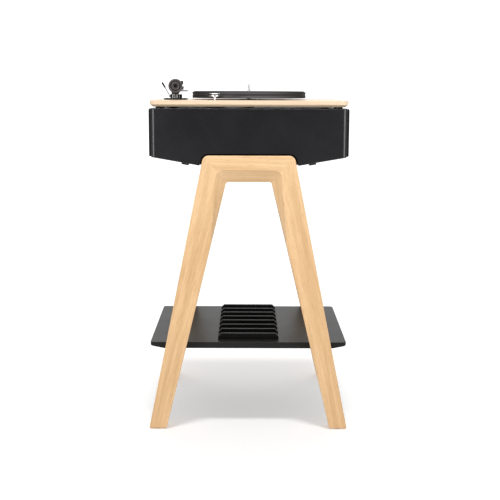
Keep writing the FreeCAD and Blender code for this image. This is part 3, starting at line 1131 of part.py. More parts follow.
def check_and_write():
    """Stop on a failed or invalid object, then write each sub-part to its own file."""
    doc.recompute()
    for obj in doc.Objects:
        if "Invalid" in obj.State or "Error" in obj.State:
            raise RuntimeError("failed object: " + obj.Name)
    for node in NODES:
        if node.Label != node.Name or node.Shape.isNull() or not node.Shape.isValid() or not node.Shape.Solids:
            raise RuntimeError("bad sub-part: " + node.Name)
    os.makedirs("parts", exist_ok=True)
    for node in NODES:
        node.Shape.exportStep("parts/%s.step" % node.Label)


a_frames()
cabinet()
loudspeakers()
record_shelf()
turntable()
tonearm()
arm_fittings()
electronics()
check_and_write()
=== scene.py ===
import itertools
import json
import math

import bpy
from mathutils import Matrix, Vector

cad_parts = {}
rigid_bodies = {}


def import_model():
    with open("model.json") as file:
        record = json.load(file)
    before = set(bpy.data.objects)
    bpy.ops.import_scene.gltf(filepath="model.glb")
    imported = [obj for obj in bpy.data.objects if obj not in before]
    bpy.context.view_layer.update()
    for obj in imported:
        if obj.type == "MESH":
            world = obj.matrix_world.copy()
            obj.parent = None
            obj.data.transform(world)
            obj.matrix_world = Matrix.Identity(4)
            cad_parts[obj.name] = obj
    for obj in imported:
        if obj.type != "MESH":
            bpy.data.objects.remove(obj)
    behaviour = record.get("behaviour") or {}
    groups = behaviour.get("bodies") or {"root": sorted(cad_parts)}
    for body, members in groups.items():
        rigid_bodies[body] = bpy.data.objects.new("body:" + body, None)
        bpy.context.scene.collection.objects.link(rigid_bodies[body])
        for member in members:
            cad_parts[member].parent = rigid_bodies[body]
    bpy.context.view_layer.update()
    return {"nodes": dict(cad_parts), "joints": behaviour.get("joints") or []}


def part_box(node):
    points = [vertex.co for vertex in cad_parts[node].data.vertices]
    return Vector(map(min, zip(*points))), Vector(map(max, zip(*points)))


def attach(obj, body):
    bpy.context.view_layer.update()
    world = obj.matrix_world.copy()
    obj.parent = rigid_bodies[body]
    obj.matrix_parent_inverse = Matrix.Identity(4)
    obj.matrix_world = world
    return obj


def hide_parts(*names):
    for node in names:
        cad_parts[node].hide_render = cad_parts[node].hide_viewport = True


bl_info = {
    "name": "Speaker with turntable",
    "version": (1, 0, 0),
    "blender": (4, 5, 0),
    "location": "3D View > Sidebar > Console",
    "description": "Dresses a loudspeaker console with its finishes, cloth, mat, fasteners and a studio",
    "category": "Object",
}

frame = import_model()
NODES = frame["nodes"]
JOINTS = {joint["name"]: joint for joint in frame["joints"]}
MM = 0.001
QUARTER = math.pi / 2
# A face looks along an axis when its normal has more than this of it
FACING = 0.9
# Points that differ by less than this lie level
LEVEL = 0.01 * MM
# Depth of a pattern's full relief, and how sharp a clear coat is
RELIEF_DEPTH = 0.4 * MM
COAT_ROUGHNESS = 0.2
# Width over which one finish gives way to another on the same piece
FINISH_EDGE = 0.1 * MM
# Distance from which the seat of a screw is looked for
SEAT_SEARCH = 50 * MM


# Settings

def settings_of(**options):
    """Makes a function for settings of one kind, from a name, a description and a default."""
    def setting(name, description, default):
        """A number, or a row of numbers, that a user may change."""
        if isinstance(default, tuple):
            return bpy.props.FloatVectorProperty(name=name, description=description, default=default,
                                                 size=len(default), **options)
        return bpy.props.FloatProperty(name=name, description=description, default=default, **options)
    return setting


colour = settings_of(min=0, max=1, subtype="COLOR")
length = settings_of(min=0, subtype="DISTANCE", unit="LENGTH")
vector = settings_of(subtype="TRANSLATION", unit="LENGTH")
angle = settings_of(subtype="ANGLE", unit="ROTATION")
power = settings_of(min=0, subtype="POWER", unit="POWER")
optic = settings_of(min=1, subtype="DISTANCE_CAMERA")
number = settings_of(min=0)


class ConsoleFinishes(bpy.types.PropertyGroup):
    """Colours of the console's finishes."""

    # The rails' wood is paler and less saturated than the legs': partly a tone of their own boards, partly
    # painted light for the brighter top of the frames
    rail_light: colour("Rails, light", "Early wood of the top rails", (0.72, 0.49, 0.277))
    rail_dark: colour("Rails, dark", "Late wood of the top rails", (0.585, 0.375, 0.192))
    oak_light: colour("Legs, light", "Early wood of the legs", (0.70, 0.458, 0.247))
    oak_dark: colour("Legs, dark", "Late wood of the legs", (0.56, 0.348, 0.168))
    oak_pore: colour("Oak, pores", "Open pores of the frames", (0.34, 0.19, 0.085))
    plate_light: colour("Plate, light", "Early wood of the turntable plate", (0.70, 0.555, 0.405))
    plate_dark: colour("Plate, dark", "Late wood of the turntable plate", (0.61, 0.455, 0.31))
    charcoal: colour("Charcoal", "Lacquer of the cabinet", (0.0052, 0.0045, 0.0057))
    satin_black: colour("Satin black", "Lacquer of shelf, dividers and brackets", (0.012, 0.0115, 0.011))
    cloth: colour("Cloth", "Threads of the grilles", (0.010, 0.010, 0.011))
    plastic: colour("Plastic", "Black mouldings, sleeves and coated metal", (0.013, 0.013, 0.014))
    rubber: colour("Rubber", "Mat, belt, dampers and glides", (0.011, 0.011, 0.011))
    black_metal: colour("Black metal", "Anodised platter and arm parts", (0.016, 0.016, 0.017))
    grey_metal: colour("Grey metal", "Counterweight and its beads", (0.052, 0.049, 0.050))
    bright_metal: colour("Bright metal", "Pulley, spindle, pillar and arm tube", (0.86, 0.86, 0.87))
    steel: colour("Steel", "Screws, bolts, sockets, cue lever, bearing and motor", (0.55, 0.55, 0.56))
    cone_paper: colour("Cone paper", "Pulp of the woofer cones", (0.030, 0.029, 0.028))
    board: colour("Board", "Solder mask of the amplifier board", (0.012, 0.095, 0.040))
    winding: colour("Winding", "Taped winding of the transformer", (0.62, 0.30, 0.055))


class ConsoleDetails(bpy.types.PropertyGroup):
    """Sizes of the pieces that are modelled here."""

    leg_width: length("Leg width", "Width of a leg, from which the lean of its grain follows", 48 * MM)
    cloth_thick: length("Cloth thickness", "Thickness of the grille cloth", 0.8 * MM)
    cloth_roll: length("Cloth roll", "Rounding where the cloth turns over the grille's rim", 1.6 * MM)
    cloth_corner: length("Cloth corner", "Corner radius of a grille", 6.4 * MM)
    cloth_edge: length("Cloth edge", "How far the cloth stops short of the grille frame's back", 0.6 * MM)
    thread: length("Thread pitch", "Distance between threads of the cloth", 1.1 * MM)
    mat_hole: length("Mat hole", "Radius of the platter mat's hole for the spindle", 4.7 * MM)
    mat_rim: length("Mat rim", "Width of the plain rim round the mat's ribs", 3 * MM)
    rib_pitch: length("Mat ribs", "Distance between two ribs of the platter mat", 4 * MM)
    rib_depth: length("Mat groove", "Depth of the grooves between the mat's ribs", 0.5 * MM)
    rib_slope: length("Rib slope", "Width of the slope at either side of a groove", 0.3 * MM)
    groove_share: number("Groove share", "Share of the pitch that a groove's floor takes", 0.3)
    label_radius: length("Label", "Radius of the mat's recess for a record's label", 51 * MM)
    label_depth: length("Label recess", "Depth of the recess for the label", 0.6 * MM)
    label_slope: length("Label slope", "Width of the slope round the label's recess", 0.5 * MM)
    label_margin: length("Label margin", "Least width of the plain ring round the label's recess", 2 * MM)
    screw_radius: length("Screw", "Radius of a wood screw's head", 4 * MM)
    screw_height: length("Screw height", "Height of a wood screw's head", 1.9 * MM)
    small_screw: length("Small screw", "Radius of a small machine screw's head", 1.6 * MM)
    small_height: length("Small screw height", "Height of a small machine screw's head", 1.12 * MM)
    low_height: length("Low screw height", "Height of the screws' heads in the arm base", 0.96 * MM)
    bracket_sheet: length("Bracket sheet", "Thickness of the shelf brackets", 3 * MM)
    bracket_inset: length("Bracket screws", "From a bracket's side to the middle of its screws", 12 * MM)
    bracket_step: length("Bracket screw step", "From that middle to each of the two screws", 6 * MM)
    shelf_inset: length("Shelf screws", "From a bracket's end to the screws under the shelf", 22 * MM)
    leg_rise: length("Leg screws", "From a bracket's foot to the screws in the leg", 10 * MM)
    base_circle: length("Base screws", "Radius of the circle of screws in the arm base", 25 * MM)
    flange_inset: length("Flange screws", "Distance of the inlet's screws from the flange's ends", 3.4 * MM)
    screw_spacing: length("Cartridge screws", "Distance between the cartridge's screws", 9 * MM)
    inner_bead: length("Inner bead", "Radius of the inner bead on the counterweight", 8.6 * MM)
    outer_bead: length("Outer bead", "Radius of the outer bead on the counterweight", 15.2 * MM)
    bead_width: length("Bead width", "Width of the counterweight's beads", 1.6 * MM)
    bead_height: length("Bead height", "Height of the counterweight's beads", 0.5 * MM)


class ConsoleStudio(bpy.types.PropertyGroup):
    """Camera, floor and lights."""

    camera_place: vector("Camera", "Place of the camera", (0.0040, 2.6191, 0.8700))
    pitch: angle("Pitch", "How far the camera looks down", math.radians(9.586))
    yaw: angle("Yaw", "How far the camera looks to the side", math.radians(0.180))
    roll: angle("Roll", "How far the camera leans", math.radians(0.205))
    lens: optic("Lens", "Focal length", 69.156)
    sensor: optic("Sensor", "Width of the camera's sensor", 36)
    floor_size: length("Floor", "Width of the floor", 12)
    floor_colour: colour("Floor colour", "Pale floor", (0.85, 0.85, 0.85))
    floor_glow: number("Floor glow", "Light that shines through the floor, as on a light table", 0.38)
    room_light: number("Room light", "Strength of the light from all round", 0.38)
    room_dim: number("Dim side", "Strength of the light from behind the camera", 0.02)
    backdrop: number("Backdrop", "Strength of the white backdrop", 1.3)
    sun_strength: number("Overhead light", "Strength of the broad light overhead", 1.15)
    sun_spread: angle("Overhead spread", "Apparent width of the light overhead", math.radians(8))
    sun_place: vector("Overhead place", "Place of the light overhead", (0, 0.6, 3))
    sun_aim: vector("Overhead aim", "Point that the light overhead faces", (0, 0.4, 2))
    light_aim: vector("Aim", "Point that the softboxes and strips face", (0, 0.2, 0.75))
    side_power: power("Side light", "Power of each softbox at the sides", 33)
    side_place: vector("Side light place", "Place of the softbox at +X", (1.25, 1.7, 1.9))
    side_size: vector("Side light size", "Width and height of each softbox", (1.0, 1.2))
    strip_power: power("Strip light", "Power of each strip, which lights polished pieces only", 34)
    strip_place: vector("Strip place", "Place of the strip at +X", (1.35, 1.75, 0.9))
    strip_size: vector("Strip size", "Width and height of each strip", (1.2, 1.2))


# Shader helpers

def node(tree, kind, inputs=None, **options):
    """Adds a shader node with its options, and links or sets its inputs."""
    made = tree.nodes.new("ShaderNode" + kind)
    for name, value in options.items():
        setattr(made, name, value)
    for name, value in (inputs or {}).items():
        feed(tree, made.inputs[name], value)
    return made


def feed(tree, socket, value):
    """Links a socket to another, or sets its value."""
    if isinstance(value, bpy.types.NodeSocket):
        tree.links.new(value, socket)
    else:
        socket.default_value = value


def maths(tree, operation, *values, kind="Math"):
    """One step of arithmetic, on numbers or on vectors."""
    made = node(tree, kind, operation=operation)
    for socket, value in zip(made.inputs, values):
        feed(tree, socket, value)
    return made.outputs[0]


def spread(tree, value, low, high, to_low=0.0, to_high=1.0):
    """Maps a value's range to another, held at its ends."""
    made = node(tree, "MapRange", {"Value": value, "From Min": low, "From Max": high,
                                   "To Min": to_low, "To Max": to_high})
    return made.outputs["Result"]


def mixed(tree, share, first, second):
    """One colour over another."""
    made = node(tree, "Mix", data_type="RGBA")
    # A Mix node's sockets share their names, so those for colours go by number
    feed(tree, made.inputs[0], share)
    feed(tree, made.inputs[6], first)
    feed(tree, made.inputs[7], second)
    return made.outputs[2]


def stretched(tree, values, factors):
    """Coordinates or a colour, each part times its own factor."""
    return maths(tree, "MULTIPLY", values, factors, kind="VectorMath")


def axes_of(tree, place):
    """The X, Y and Z of a place."""
    return node(tree, "SeparateXYZ", {"Vector": place}).outputs


def noise(tree, place, scale, detail=2.0, roughness=0.5):
    """Cloudy variation from 0 to 1."""
    made = node(tree, "TexNoise", {"Vector": place, "Scale": scale, "Detail": detail,
                                   "Roughness": roughness})
    return made.outputs["Fac"]


def uneven(tree, rough, clouds, less, more):
    """A roughness that drifts with cloudy variation."""
    return maths(tree, "ADD", rough, spread(tree, clouds, 0.25, 0.75, -less, more))


def pattern_group(name, **inputs):
    """An empty pattern with its sockets: the group, its place, all it is given and what it gives."""
    tree = bpy.data.node_groups.new(name, "ShaderNodeTree")
    for label, kind in {"Vector": "Vector", **inputs}.items():
        tree.interface.new_socket(label, in_out="INPUT", socket_type="NodeSocket" + kind)
    for label, kind in (("Color", "Color"), ("Roughness", "Float"), ("Height", "Float")):
        tree.interface.new_socket(label, in_out="OUTPUT", socket_type="NodeSocket" + kind)
    given = tree.nodes.new("NodeGroupInput").outputs
    gives = tree.nodes.new("NodeGroupOutput").inputs
    return tree, given["Vector"], given, gives


def give(tree, gives, tint, rough, height):
    """Hands out what a pattern gives and returns the finished group."""
    tree.links.new(tint, gives["Color"])
    tree.links.new(rough, gives["Roughness"])
    tree.links.new(height, gives["Height"])
    return tree


# Patterns, in the coordinates that a finish turns and centres for its piece

def oak_grain():
    """Bands, fine streaks and open pores that run along Z."""
    tree, place, given, gives = pattern_group("oak_grain", Light="Color", Dark="Color", Pore="Color")
    drift = node(tree, "TexNoise", {"Vector": stretched(tree, place, (1, 1, 0.3)), "Scale": 4.0,
                                    "Detail": 1.0}).outputs["Color"]
    centred = maths(tree, "SUBTRACT", drift, (0.5, 0.5, 0.5), kind="VectorMath")
    bent = maths(tree, "MULTIPLY_ADD", centred, (0.05, 0.05, 0), place, kind="VectorMath")
    bands = noise(tree, stretched(tree, bent, (1, 1, 0.05)), 70.0, 3.0, 0.55)
    streaks = noise(tree, stretched(tree, bent, (1, 1, 0.016)), 420.0, 3.0, 0.6)
    pores = noise(tree, stretched(tree, bent, (1, 1, 0.045)), 1100.0, 1.0, 0.5)
    pores = spread(tree, pores, 0.60, 0.70)
    tone = maths(tree, "ADD", maths(tree, "MULTIPLY", bands, 0.55), maths(tree, "MULTIPLY", streaks, 0.45))
    wood = mixed(tree, spread(tree, tone, 0.38, 0.62), given["Light"], given["Dark"])
    wood = mixed(tree, maths(tree, "MULTIPLY", pores, 0.38), wood, given["Pore"])
    height = maths(tree, "SUBTRACT", maths(tree, "MULTIPLY", streaks, 0.4), pores)
    return give(tree, gives, wood, spread(tree, tone, 0.3, 0.7, 0.40, 0.52), height)


def lacquer_film():
    """A sprayed film: faint clouds and orange peel."""
    tree, place, given, gives = pattern_group("lacquer_film", Base="Color", Haze="Color", Rough="Float")
    clouds = noise(tree, place, 11.0, 4.0, 0.6)
    peel = noise(tree, place, 520.0, 2.0, 0.5)
    specks = noise(tree, place, 1900.0, 1.0, 0.5)
    share = maths(tree, "ADD", spread(tree, clouds, 0.3, 0.75, 0.0, 0.4),
                  spread(tree, specks, 0.55, 0.8, 0.0, 0.5))
    film = mixed(tree, share, given["Base"], given["Haze"])
    return give(tree, gives, film, uneven(tree, given["Rough"], clouds, 0.02, 0.025), peel)


def cloth_weave():
    """A plain weave in the YZ plane."""
    tree, place, given, gives = pattern_group("cloth_weave", Pitch="Float", Thread="Color", Gap="Color")
    axes = axes_of(tree, place)
    turn = maths(tree, "DIVIDE", math.pi, given["Pitch"])
    across = maths(tree, "SINE", maths(tree, "MULTIPLY", axes["Y"], turn))
    along = maths(tree, "SINE", maths(tree, "MULTIPLY", axes["Z"], turn))
    crossing = maths(tree, "MULTIPLY", across, along)
    bulge = maths(tree, "POWER", maths(tree, "ABSOLUTE", crossing), 0.6)
    fuzz = noise(tree, place, 2400.0, 2.0, 0.6)
    slubs = noise(tree, stretched(tree, place, (1, 1, 0.04)), 500.0, 2.0, 0.5)
    # Painted light and shade: the crowns of the threads are lighter and the gaps between them darker, as
    # light falls on round threads
    lit = maths(tree, "MULTIPLY", bulge, spread(tree, slubs, 0.3, 0.7, 0.6, 1.0))
    threads = mixed(tree, lit, given["Gap"], given["Thread"])
    height = maths(tree, "ADD", bulge, maths(tree, "MULTIPLY", fuzz, 0.25))
    return give(tree, gives, threads, spread(tree, fuzz, 0.2, 0.8, 0.82, 0.98), height)


def turned_marks():
    """Fine uneven rings round Z, as a lathe leaves them."""
    tree, place, given, gives = pattern_group("turned_marks", Pitch="Float", Base="Color", Bright="Color",
                                              Rough="Float")
    axes = axes_of(tree, place)
    flat = node(tree, "CombineXYZ", {"X": axes["X"], "Y": axes["Y"]}).outputs[0]
    radius = node(tree, "VectorMath", {"Vector": flat}, operation="LENGTH").outputs["Value"]
    travel = maths(tree, "ADD", radius, maths(tree, "MULTIPLY", axes["Z"], 0.7))
    steps = maths(tree, "DIVIDE", travel, given["Pitch"])
    line = node(tree, "CombineXYZ", {"X": steps}).outputs[0]
    cuts = noise(tree, line, 1.0, 3.0, 0.7)
    stains = noise(tree, place, 60.0, 3.0, 0.6)
    metal = mixed(tree, spread(tree, cuts, 0.3, 0.7), given["Base"], given["Bright"])
    return give(tree, gives, metal, uneven(tree, given["Rough"], stains, 0.05, 0.07), cuts)


def moulded_grain():
    """The fine spark grain of moulded plastic, rubber and paper pulp."""
    tree, place, given, gives = pattern_group("moulded_grain", Scale="Float", Base="Color", Bright="Color",
                                              Rough="Float")
    grain = noise(tree, place, given["Scale"], 3.0, 0.65)
    clouds = noise(tree, place, 35.0, 3.0, 0.6)
    share = maths(tree, "MULTIPLY", spread(tree, grain, 0.35, 0.75),
                  spread(tree, clouds, 0.3, 0.7, 0.4, 1.0))
    skin = mixed(tree, share, given["Base"], given["Bright"])
    return give(tree, gives, skin, uneven(tree, given["Rough"], clouds, 0.06, 0.08), grain)


def brushed_lines():
    """Hairlines along Z on brushed or drawn metal."""
    tree, place, given, gives = pattern_group("brushed_lines", Base="Color", Bright="Color", Rough="Float")
    lines = noise(tree, stretched(tree, place, (1, 1, 0.02)), 1700.0, 3.0, 0.7)
    stains = noise(tree, place, 45.0, 3.0, 0.6)
    metal = mixed(tree, spread(tree, lines, 0.3, 0.7), given["Base"], given["Bright"])
    return give(tree, gives, metal, uneven(tree, given["Rough"], stains, 0.06, 0.08), lines)


def board_tracks():
    """Tracks under the solder mask of a circuit board, in the XY plane."""
    tree, place, given, gives = pattern_group("board_tracks", Mask="Color", Track="Color")
    tracks = node(tree, "TexBrick", {
        "Vector": place, "Scale": 120.0, "Mortar Size": 0.05, "Mortar Smooth": 0.2, "Bias": 0.0,
        "Brick Width": 0.9, "Row Height": 0.35}).outputs["Fac"]
    clouds = noise(tree, place, 90.0, 3.0, 0.6)
    board = mixed(tree, tracks, given["Mask"], given["Track"])
    return give(tree, gives, board, spread(tree, clouds, 0.25, 0.75, 0.28, 0.45), tracks)


def wound_tape():
    """Overlapping turns of tape round a ring core on Z."""
    tree, place, given, gives = pattern_group("wound_tape", Turns="Float", Base="Color", Lap="Color")
    axes = axes_of(tree, place)
    bearing = maths(tree, "ARCTAN2", axes["Y"], axes["X"])
    laps = maths(tree, "FRACT", maths(tree, "MULTIPLY", bearing, given["Turns"]))
    clouds = noise(tree, place, 120.0, 3.0, 0.6)
    share = maths(tree, "MULTIPLY", laps, spread(tree, clouds, 0.3, 0.7, 0.5, 1.0))
    tape = mixed(tree, share, given["Base"], given["Lap"])
    return give(tree, gives, tape, spread(tree, clouds, 0.25, 0.75, 0.26, 0.42), laps)


# Finishes

def finish(name, pattern, turn=(0, 0, 0), centre=(0, 0, 0), metallic=0.0, coat=0.0, gloss=0.5, relief=0.2,
           **inputs):
    """A procedural material: a pattern in object coordinates, turned and centred for one piece."""
    material = bpy.data.materials.new(name)
    material.use_nodes = True
    tree = material.node_tree
    shader = tree.nodes["Principled BSDF"]
    shader.inputs["Metallic"].default_value = metallic
    shader.inputs["Specular IOR Level"].default_value = gloss
    shader.inputs["Coat Weight"].default_value = coat
    shader.inputs["Coat Roughness"].default_value = COAT_ROUGHNESS
    place = node(tree, "TexCoord").outputs["Object"]
    turned = node(tree, "Mapping", {"Vector": place, "Location": centre, "Rotation": turn},
                  vector_type="TEXTURE")
    group = tree.nodes.new("ShaderNodeGroup")
    group.node_tree = bpy.data.node_groups.get(pattern.__name__) or pattern()
    tree.links.new(turned.outputs[0], group.inputs["Vector"])
    for label, value in inputs.items():
        socket = group.inputs[label.capitalize()]
        socket.default_value = (*value, 1.0) if socket.type == "RGBA" else value
    bump = node(tree, "Bump", {"Strength": relief, "Distance": RELIEF_DEPTH,
                               "Height": group.outputs["Height"]})
    tree.links.new(group.outputs["Color"], shader.inputs["Base Color"])
    tree.links.new(group.outputs["Roughness"], shader.inputs["Roughness"])
    tree.links.new(bump.outputs[0], shader.inputs["Normal"])
    return material


def lighter(tint, factor):
    """A colour made lighter or darker."""
    return tuple(min(1.0, part * factor) for part in tint)


def tones(tint, low, high, over="bright"):
    """The base colour of a pattern and the one over it, as two tones of one colour."""
    return {"base": lighter(tint, low), over: lighter(tint, high)}


def own_place(material, axis):
    """One of the coordinates of the piece that has a material."""
    tree = material.node_tree
    return axes_of(tree, node(tree, "TexCoord").outputs["Object"])[axis]


def overlay(material, share, tint=None, factors=None):
    """Lays a colour over a material's own, or its own colour times a factor for each part."""
    tree = material.node_tree
    base = tree.nodes["Principled BSDF"].inputs["Base Color"]
    own = base.links[0].from_socket
    over = stretched(tree, own, factors) if factors else (*tint, 1.0)
    tree.links.new(mixed(tree, share, own, over), base)
    return material


def sleeved(material, share, tint):
    """Covers a part of a metal with a sleeve that isn't metal."""
    tree = material.node_tree
    bare = maths(tree, "SUBTRACT", 1.0, share)
    tree.links.new(bare, tree.nodes["Principled BSDF"].inputs["Metallic"])
    return overlay(material, share, tint)


def paint(material, *names):
    """Gives CAD pieces a material."""
    for name in names:
        slots = NODES[name].data.materials
        slots.clear()
        slots.append(material)


def middle(name):
    """Centre of a CAD piece's box."""
    low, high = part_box(name)
    return (low + high) / 2


def arm_turn(reach):
    """The turn that lays a pattern along the tonearm."""
    return tuple(reach.to_track_quat("Z", "Y").to_euler())


# Modelling helpers

def only(obj):
    """Selects one object and makes it active."""
    bpy.ops.object.select_all(action="DESELECT")
    obj.select_set(True)
    bpy.context.view_layer.objects.active = obj


def start_piece(name):
    """Names the primitive that was just added, applies its place and leaves nothing of it selected."""
    obj = bpy.context.active_object
    obj.name = name
    obj.data.name = name
    bpy.ops.object.transform_apply(location=True, rotation=True, scale=True)
    bpy.ops.object.mode_set(mode="EDIT")
    bpy.ops.mesh.select_all(action="DESELECT")
    bpy.ops.object.mode_set(mode="OBJECT")
    return obj


def pick(obj, kind, wanted):
    """Selects the faces or edges that are wanted and opens the piece for editing."""
    bpy.ops.object.mode_set(mode="EDIT")
    bpy.ops.mesh.select_mode(type=kind)
    bpy.ops.mesh.select_all(action="DESELECT")
    bpy.ops.object.mode_set(mode="OBJECT")
    mesh = obj.data
    found = 0
    for part in mesh.edges if kind == "EDGE" else mesh.polygons:
        part.select = bool(wanted(mesh, part))
        found += part.select
    if not found:
        raise RuntimeError(f"{obj.name}: nothing to work on")
    bpy.ops.object.mode_set(mode="EDIT")


def ends(mesh, edge):
    """The two ends of an edge."""
    return [mesh.vertices[index].co for index in edge.vertices]


def close_piece(obj, material, smooth=35):
    """Mends the normals, smooths gentle edges, leaves edit mode and gives the piece its material."""
    bpy.ops.object.mode_set(mode="EDIT")
    bpy.ops.mesh.select_all(action="SELECT")
    bpy.ops.mesh.normals_make_consistent(inside=False)
    bpy.ops.object.mode_set(mode="OBJECT")
    only(obj)
    bpy.ops.object.shade_smooth_by_angle(angle=math.radians(smooth))
    obj.data.materials.clear()
    obj.data.materials.append(material)


def apply_modifier(obj, kind, **options):
    """Adds a modifier and applies it."""
    only(obj)
    modifier = obj.modifiers.new(kind.lower(), kind)
    for name, value in options.items():
        setattr(modifier, name, value)
    bpy.ops.object.modifier_apply(modifier=modifier.name)


def join(pieces, name):
    """Joins pieces to one and names it."""
    only(pieces[0])
    for piece in pieces[1:]:
        piece.select_set(True)
    if len(pieces) > 1:
        bpy.ops.object.join()
    joined = bpy.context.active_object
    joined.name = name
    joined.data.name = name
    return joined


def join_copies(master, name, places):
    """Copies a piece to each place and joins the copies to one piece."""
    copies = []
    for place in places:
        copy = master.copy()
        copy.data = master.data.copy()
        copy.data.transform(place)
        bpy.context.scene.collection.objects.link(copy)
        copies.append(copy)
    bpy.data.objects.remove(master)
    return join(copies, name)


# Pieces

class CONSOLE_OT_oak_frames(bpy.types.Operator):
    """Oils both A-frames, with the grain along each rail and leg"""

    bl_idname = "console.oak_frames"
    bl_label = "Finish the A-frames"

    # Painted light from above: heights between which a leg grows lighter and paler, and what its colour is
    # multiplied by there
    fade = (0.45, 0.69)
    pale = (1.03, 1.07, 1.12)

    def execute(self, context):
        tints = context.scene.console_finishes
        oak = dict(coat=0.05, gloss=0.35, relief=0.18, pore=tints.oak_pore)
        rails = dict(oak, light=tints.rail_light, dark=tints.rail_dark)
        legs = dict(oak, light=tints.oak_light, dark=tints.oak_dark)
        # Every board is cut elsewhere from the wood, so no two show the same grain
        for row, end in enumerate(("rear", "front")):
            rail = end + "_frame_rail"
            cut = Vector((0.9 * row, 0.31 * row, 0.2 + 0.37 * row))
            paint(finish(rail + "_oak", oak_grain, (0, QUARTER, 0), cut, **rails), rail)
            for sign, side in ((-1, "right"), (1, "left")):
                leg = f"{end}_frame_{side}_leg"
                cut = middle(leg) + Vector((0.13 * sign, 0.17 + 0.4 * row, 0.6 * row))
                turn = (0, sign * self.lean(leg, context.scene.console_details.leg_width), 0)
                # Each leg also gets painted light towards its top
                paint(self.paler_above(finish(leg + "_oak", oak_grain, turn, cut, **legs)), leg)
        paint(finish("glide_felt", moulded_grain, relief=0.6, scale=1400.0, rough=0.85,
                     **tones(tints.rubber, 1, 4)), "foot_glides")
        paint(finish("bolt_steel", turned_marks, (QUARTER, 0, 0), metallic=1.0, relief=0.1, pitch=0.4 * MM,
                     rough=0.35, **tones(tints.steel, 0.8, 1)), "frame_bolts")
        return {"FINISHED"}

    def lean(self, leg, width):
        """How far a leg leans from upright, from its box and its width."""
        low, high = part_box(leg)
        return math.atan2(high.x - low.x - width, high.z - low.z)

    def paler_above(self, material):
        """Paints light onto a leg's upper part, so that its wood grows lighter and paler towards the rail's
        tone.
        """
        share = spread(material.node_tree, own_place(material, "Z"), *self.fade)
        return overlay(material, share, factors=self.pale)


class CONSOLE_OT_cabinet(bpy.types.Operator):
    """Sprays the loudspeaker cabinet and its battens"""

    bl_idname = "console.cabinet"
    bl_label = "Finish the cabinet"

    def execute(self, context):
        tints = context.scene.console_finishes
        charcoal = tints.charcoal
        paint(finish("cabinet_lacquer", lacquer_film, gloss=0.34, relief=0.03, rough=0.27,
                     **tones(charcoal, 1, 1.5, "haze")), "cabinet_shell")
        paint(finish("panel_lacquer", lacquer_film, gloss=0.8, relief=0.01, rough=0.05,
                     **tones(charcoal, 1, 1.5, "haze")), "top_panel")
        paint(finish("batten_lacquer", lacquer_film, relief=0.1, rough=0.5,
                     **tones(charcoal, 0.7, 1, "haze")), "underside_battens")
        return {"FINISHED"}


class CONSOLE_OT_grilles(bpy.types.Operator):
    """Stretches a woven cloth over each grille frame and rolls it round the rim"""

    bl_idname = "console.grilles"
    bl_label = "Stretch the grille cloths"

    def execute(self, context):
        tints = context.scene.console_finishes
        sizes = context.scene.console_details
        # The one black cloth is given as a lit thread tone and a shaded gap tone: painted light and shade of
        # the weave
        weave = finish("grille_weave", cloth_weave, gloss=0.15, relief=0.8, pitch=sizes.thread,
                       thread=lighter(tints.cloth, 2.2), gap=lighter(tints.cloth, 0.3))
        ring = finish("grille_plastic", moulded_grain, relief=0.15, scale=1500.0, rough=0.5,
                      **tones(tints.plastic, 1, 1.6))
        for side, sign in (("right", 1), ("left", -1)):
            paint(ring, side + "_grille_frame")
            self.stretch(side, sign, weave, sizes)
        return {"FINISHED"}

    def stretch(self, side, sign, weave, sizes):
        """One cloth: a box without its back, rounded at corners and rim, then given its thickness."""
        low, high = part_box(side + "_grille_frame")
        rim, back = (high.x, low.x) if sign > 0 else (low.x, high.x)
        front = rim + sign * sizes.cloth_thick
        back += sign * sizes.cloth_edge
        wide = high.y - low.y + 2 * sizes.cloth_thick
        tall = high.z - low.z + 2 * sizes.cloth_thick
        deep = abs(front - back)
        place = Vector(((front + back) / 2, (low.y + high.y) / 2, (low.z + high.z) / 2))
        bpy.ops.object.select_all(action="DESELECT")
        bpy.ops.mesh.primitive_cube_add(size=1, location=place, scale=(deep, wide, tall))
        cloth = start_piece(side + "_cloth")
        pick(cloth, "FACE", lambda mesh, face: sign * face.normal.x < -FACING)
        bpy.ops.mesh.delete(type="FACE")
        pick(cloth, "EDGE", lambda mesh, edge: abs(ends(mesh, edge)[0].x - ends(mesh, edge)[1].x) > MM)
        bpy.ops.mesh.bevel(offset=sizes.cloth_corner, segments=5)
        pick(cloth, "EDGE", lambda mesh, edge: all(abs(end.x - front) < LEVEL for end in ends(mesh, edge)))
        bpy.ops.mesh.bevel(offset=sizes.cloth_roll, segments=3)
        bpy.ops.object.mode_set(mode="OBJECT")
        apply_modifier(cloth, "SOLIDIFY", thickness=sizes.cloth_thick, offset=-1)
        close_piece(cloth, weave)
        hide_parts(side + "_grille_cloth")
        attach(cloth, "console")


class CONSOLE_OT_loudspeakers(bpy.types.Operator):
    """Finishes the woofers and tweeters behind the cloth"""

    bl_idname = "console.loudspeakers"
    bl_label = "Finish the loudspeakers"

    def execute(self, context):
        tints = context.scene.console_finishes
        for side, turn in (("right", QUARTER), ("left", -QUARTER)):
            paint(finish(side + "_basket_metal", moulded_grain, relief=0.3, scale=900.0, metallic=0.6,
                         rough=0.45, **tones(tints.plastic, 1.5, 3)), side + "_woofer_baskets")
            paint(finish(side + "_cone_pulp", moulded_grain, relief=0.7, scale=420.0, rough=0.8,
                         **tones(tints.cone_paper, 1, 2.2)), side + "_woofer_cones")
            paint(finish(side + "_tweeter_plastic", turned_marks, (0, turn, 0), middle(side + "_tweeter"),
                         relief=0.1, pitch=0.5 * MM, rough=0.4, **tones(tints.plastic, 1, 1.8)),
                  side + "_tweeter")
        return {"FINISHED"}


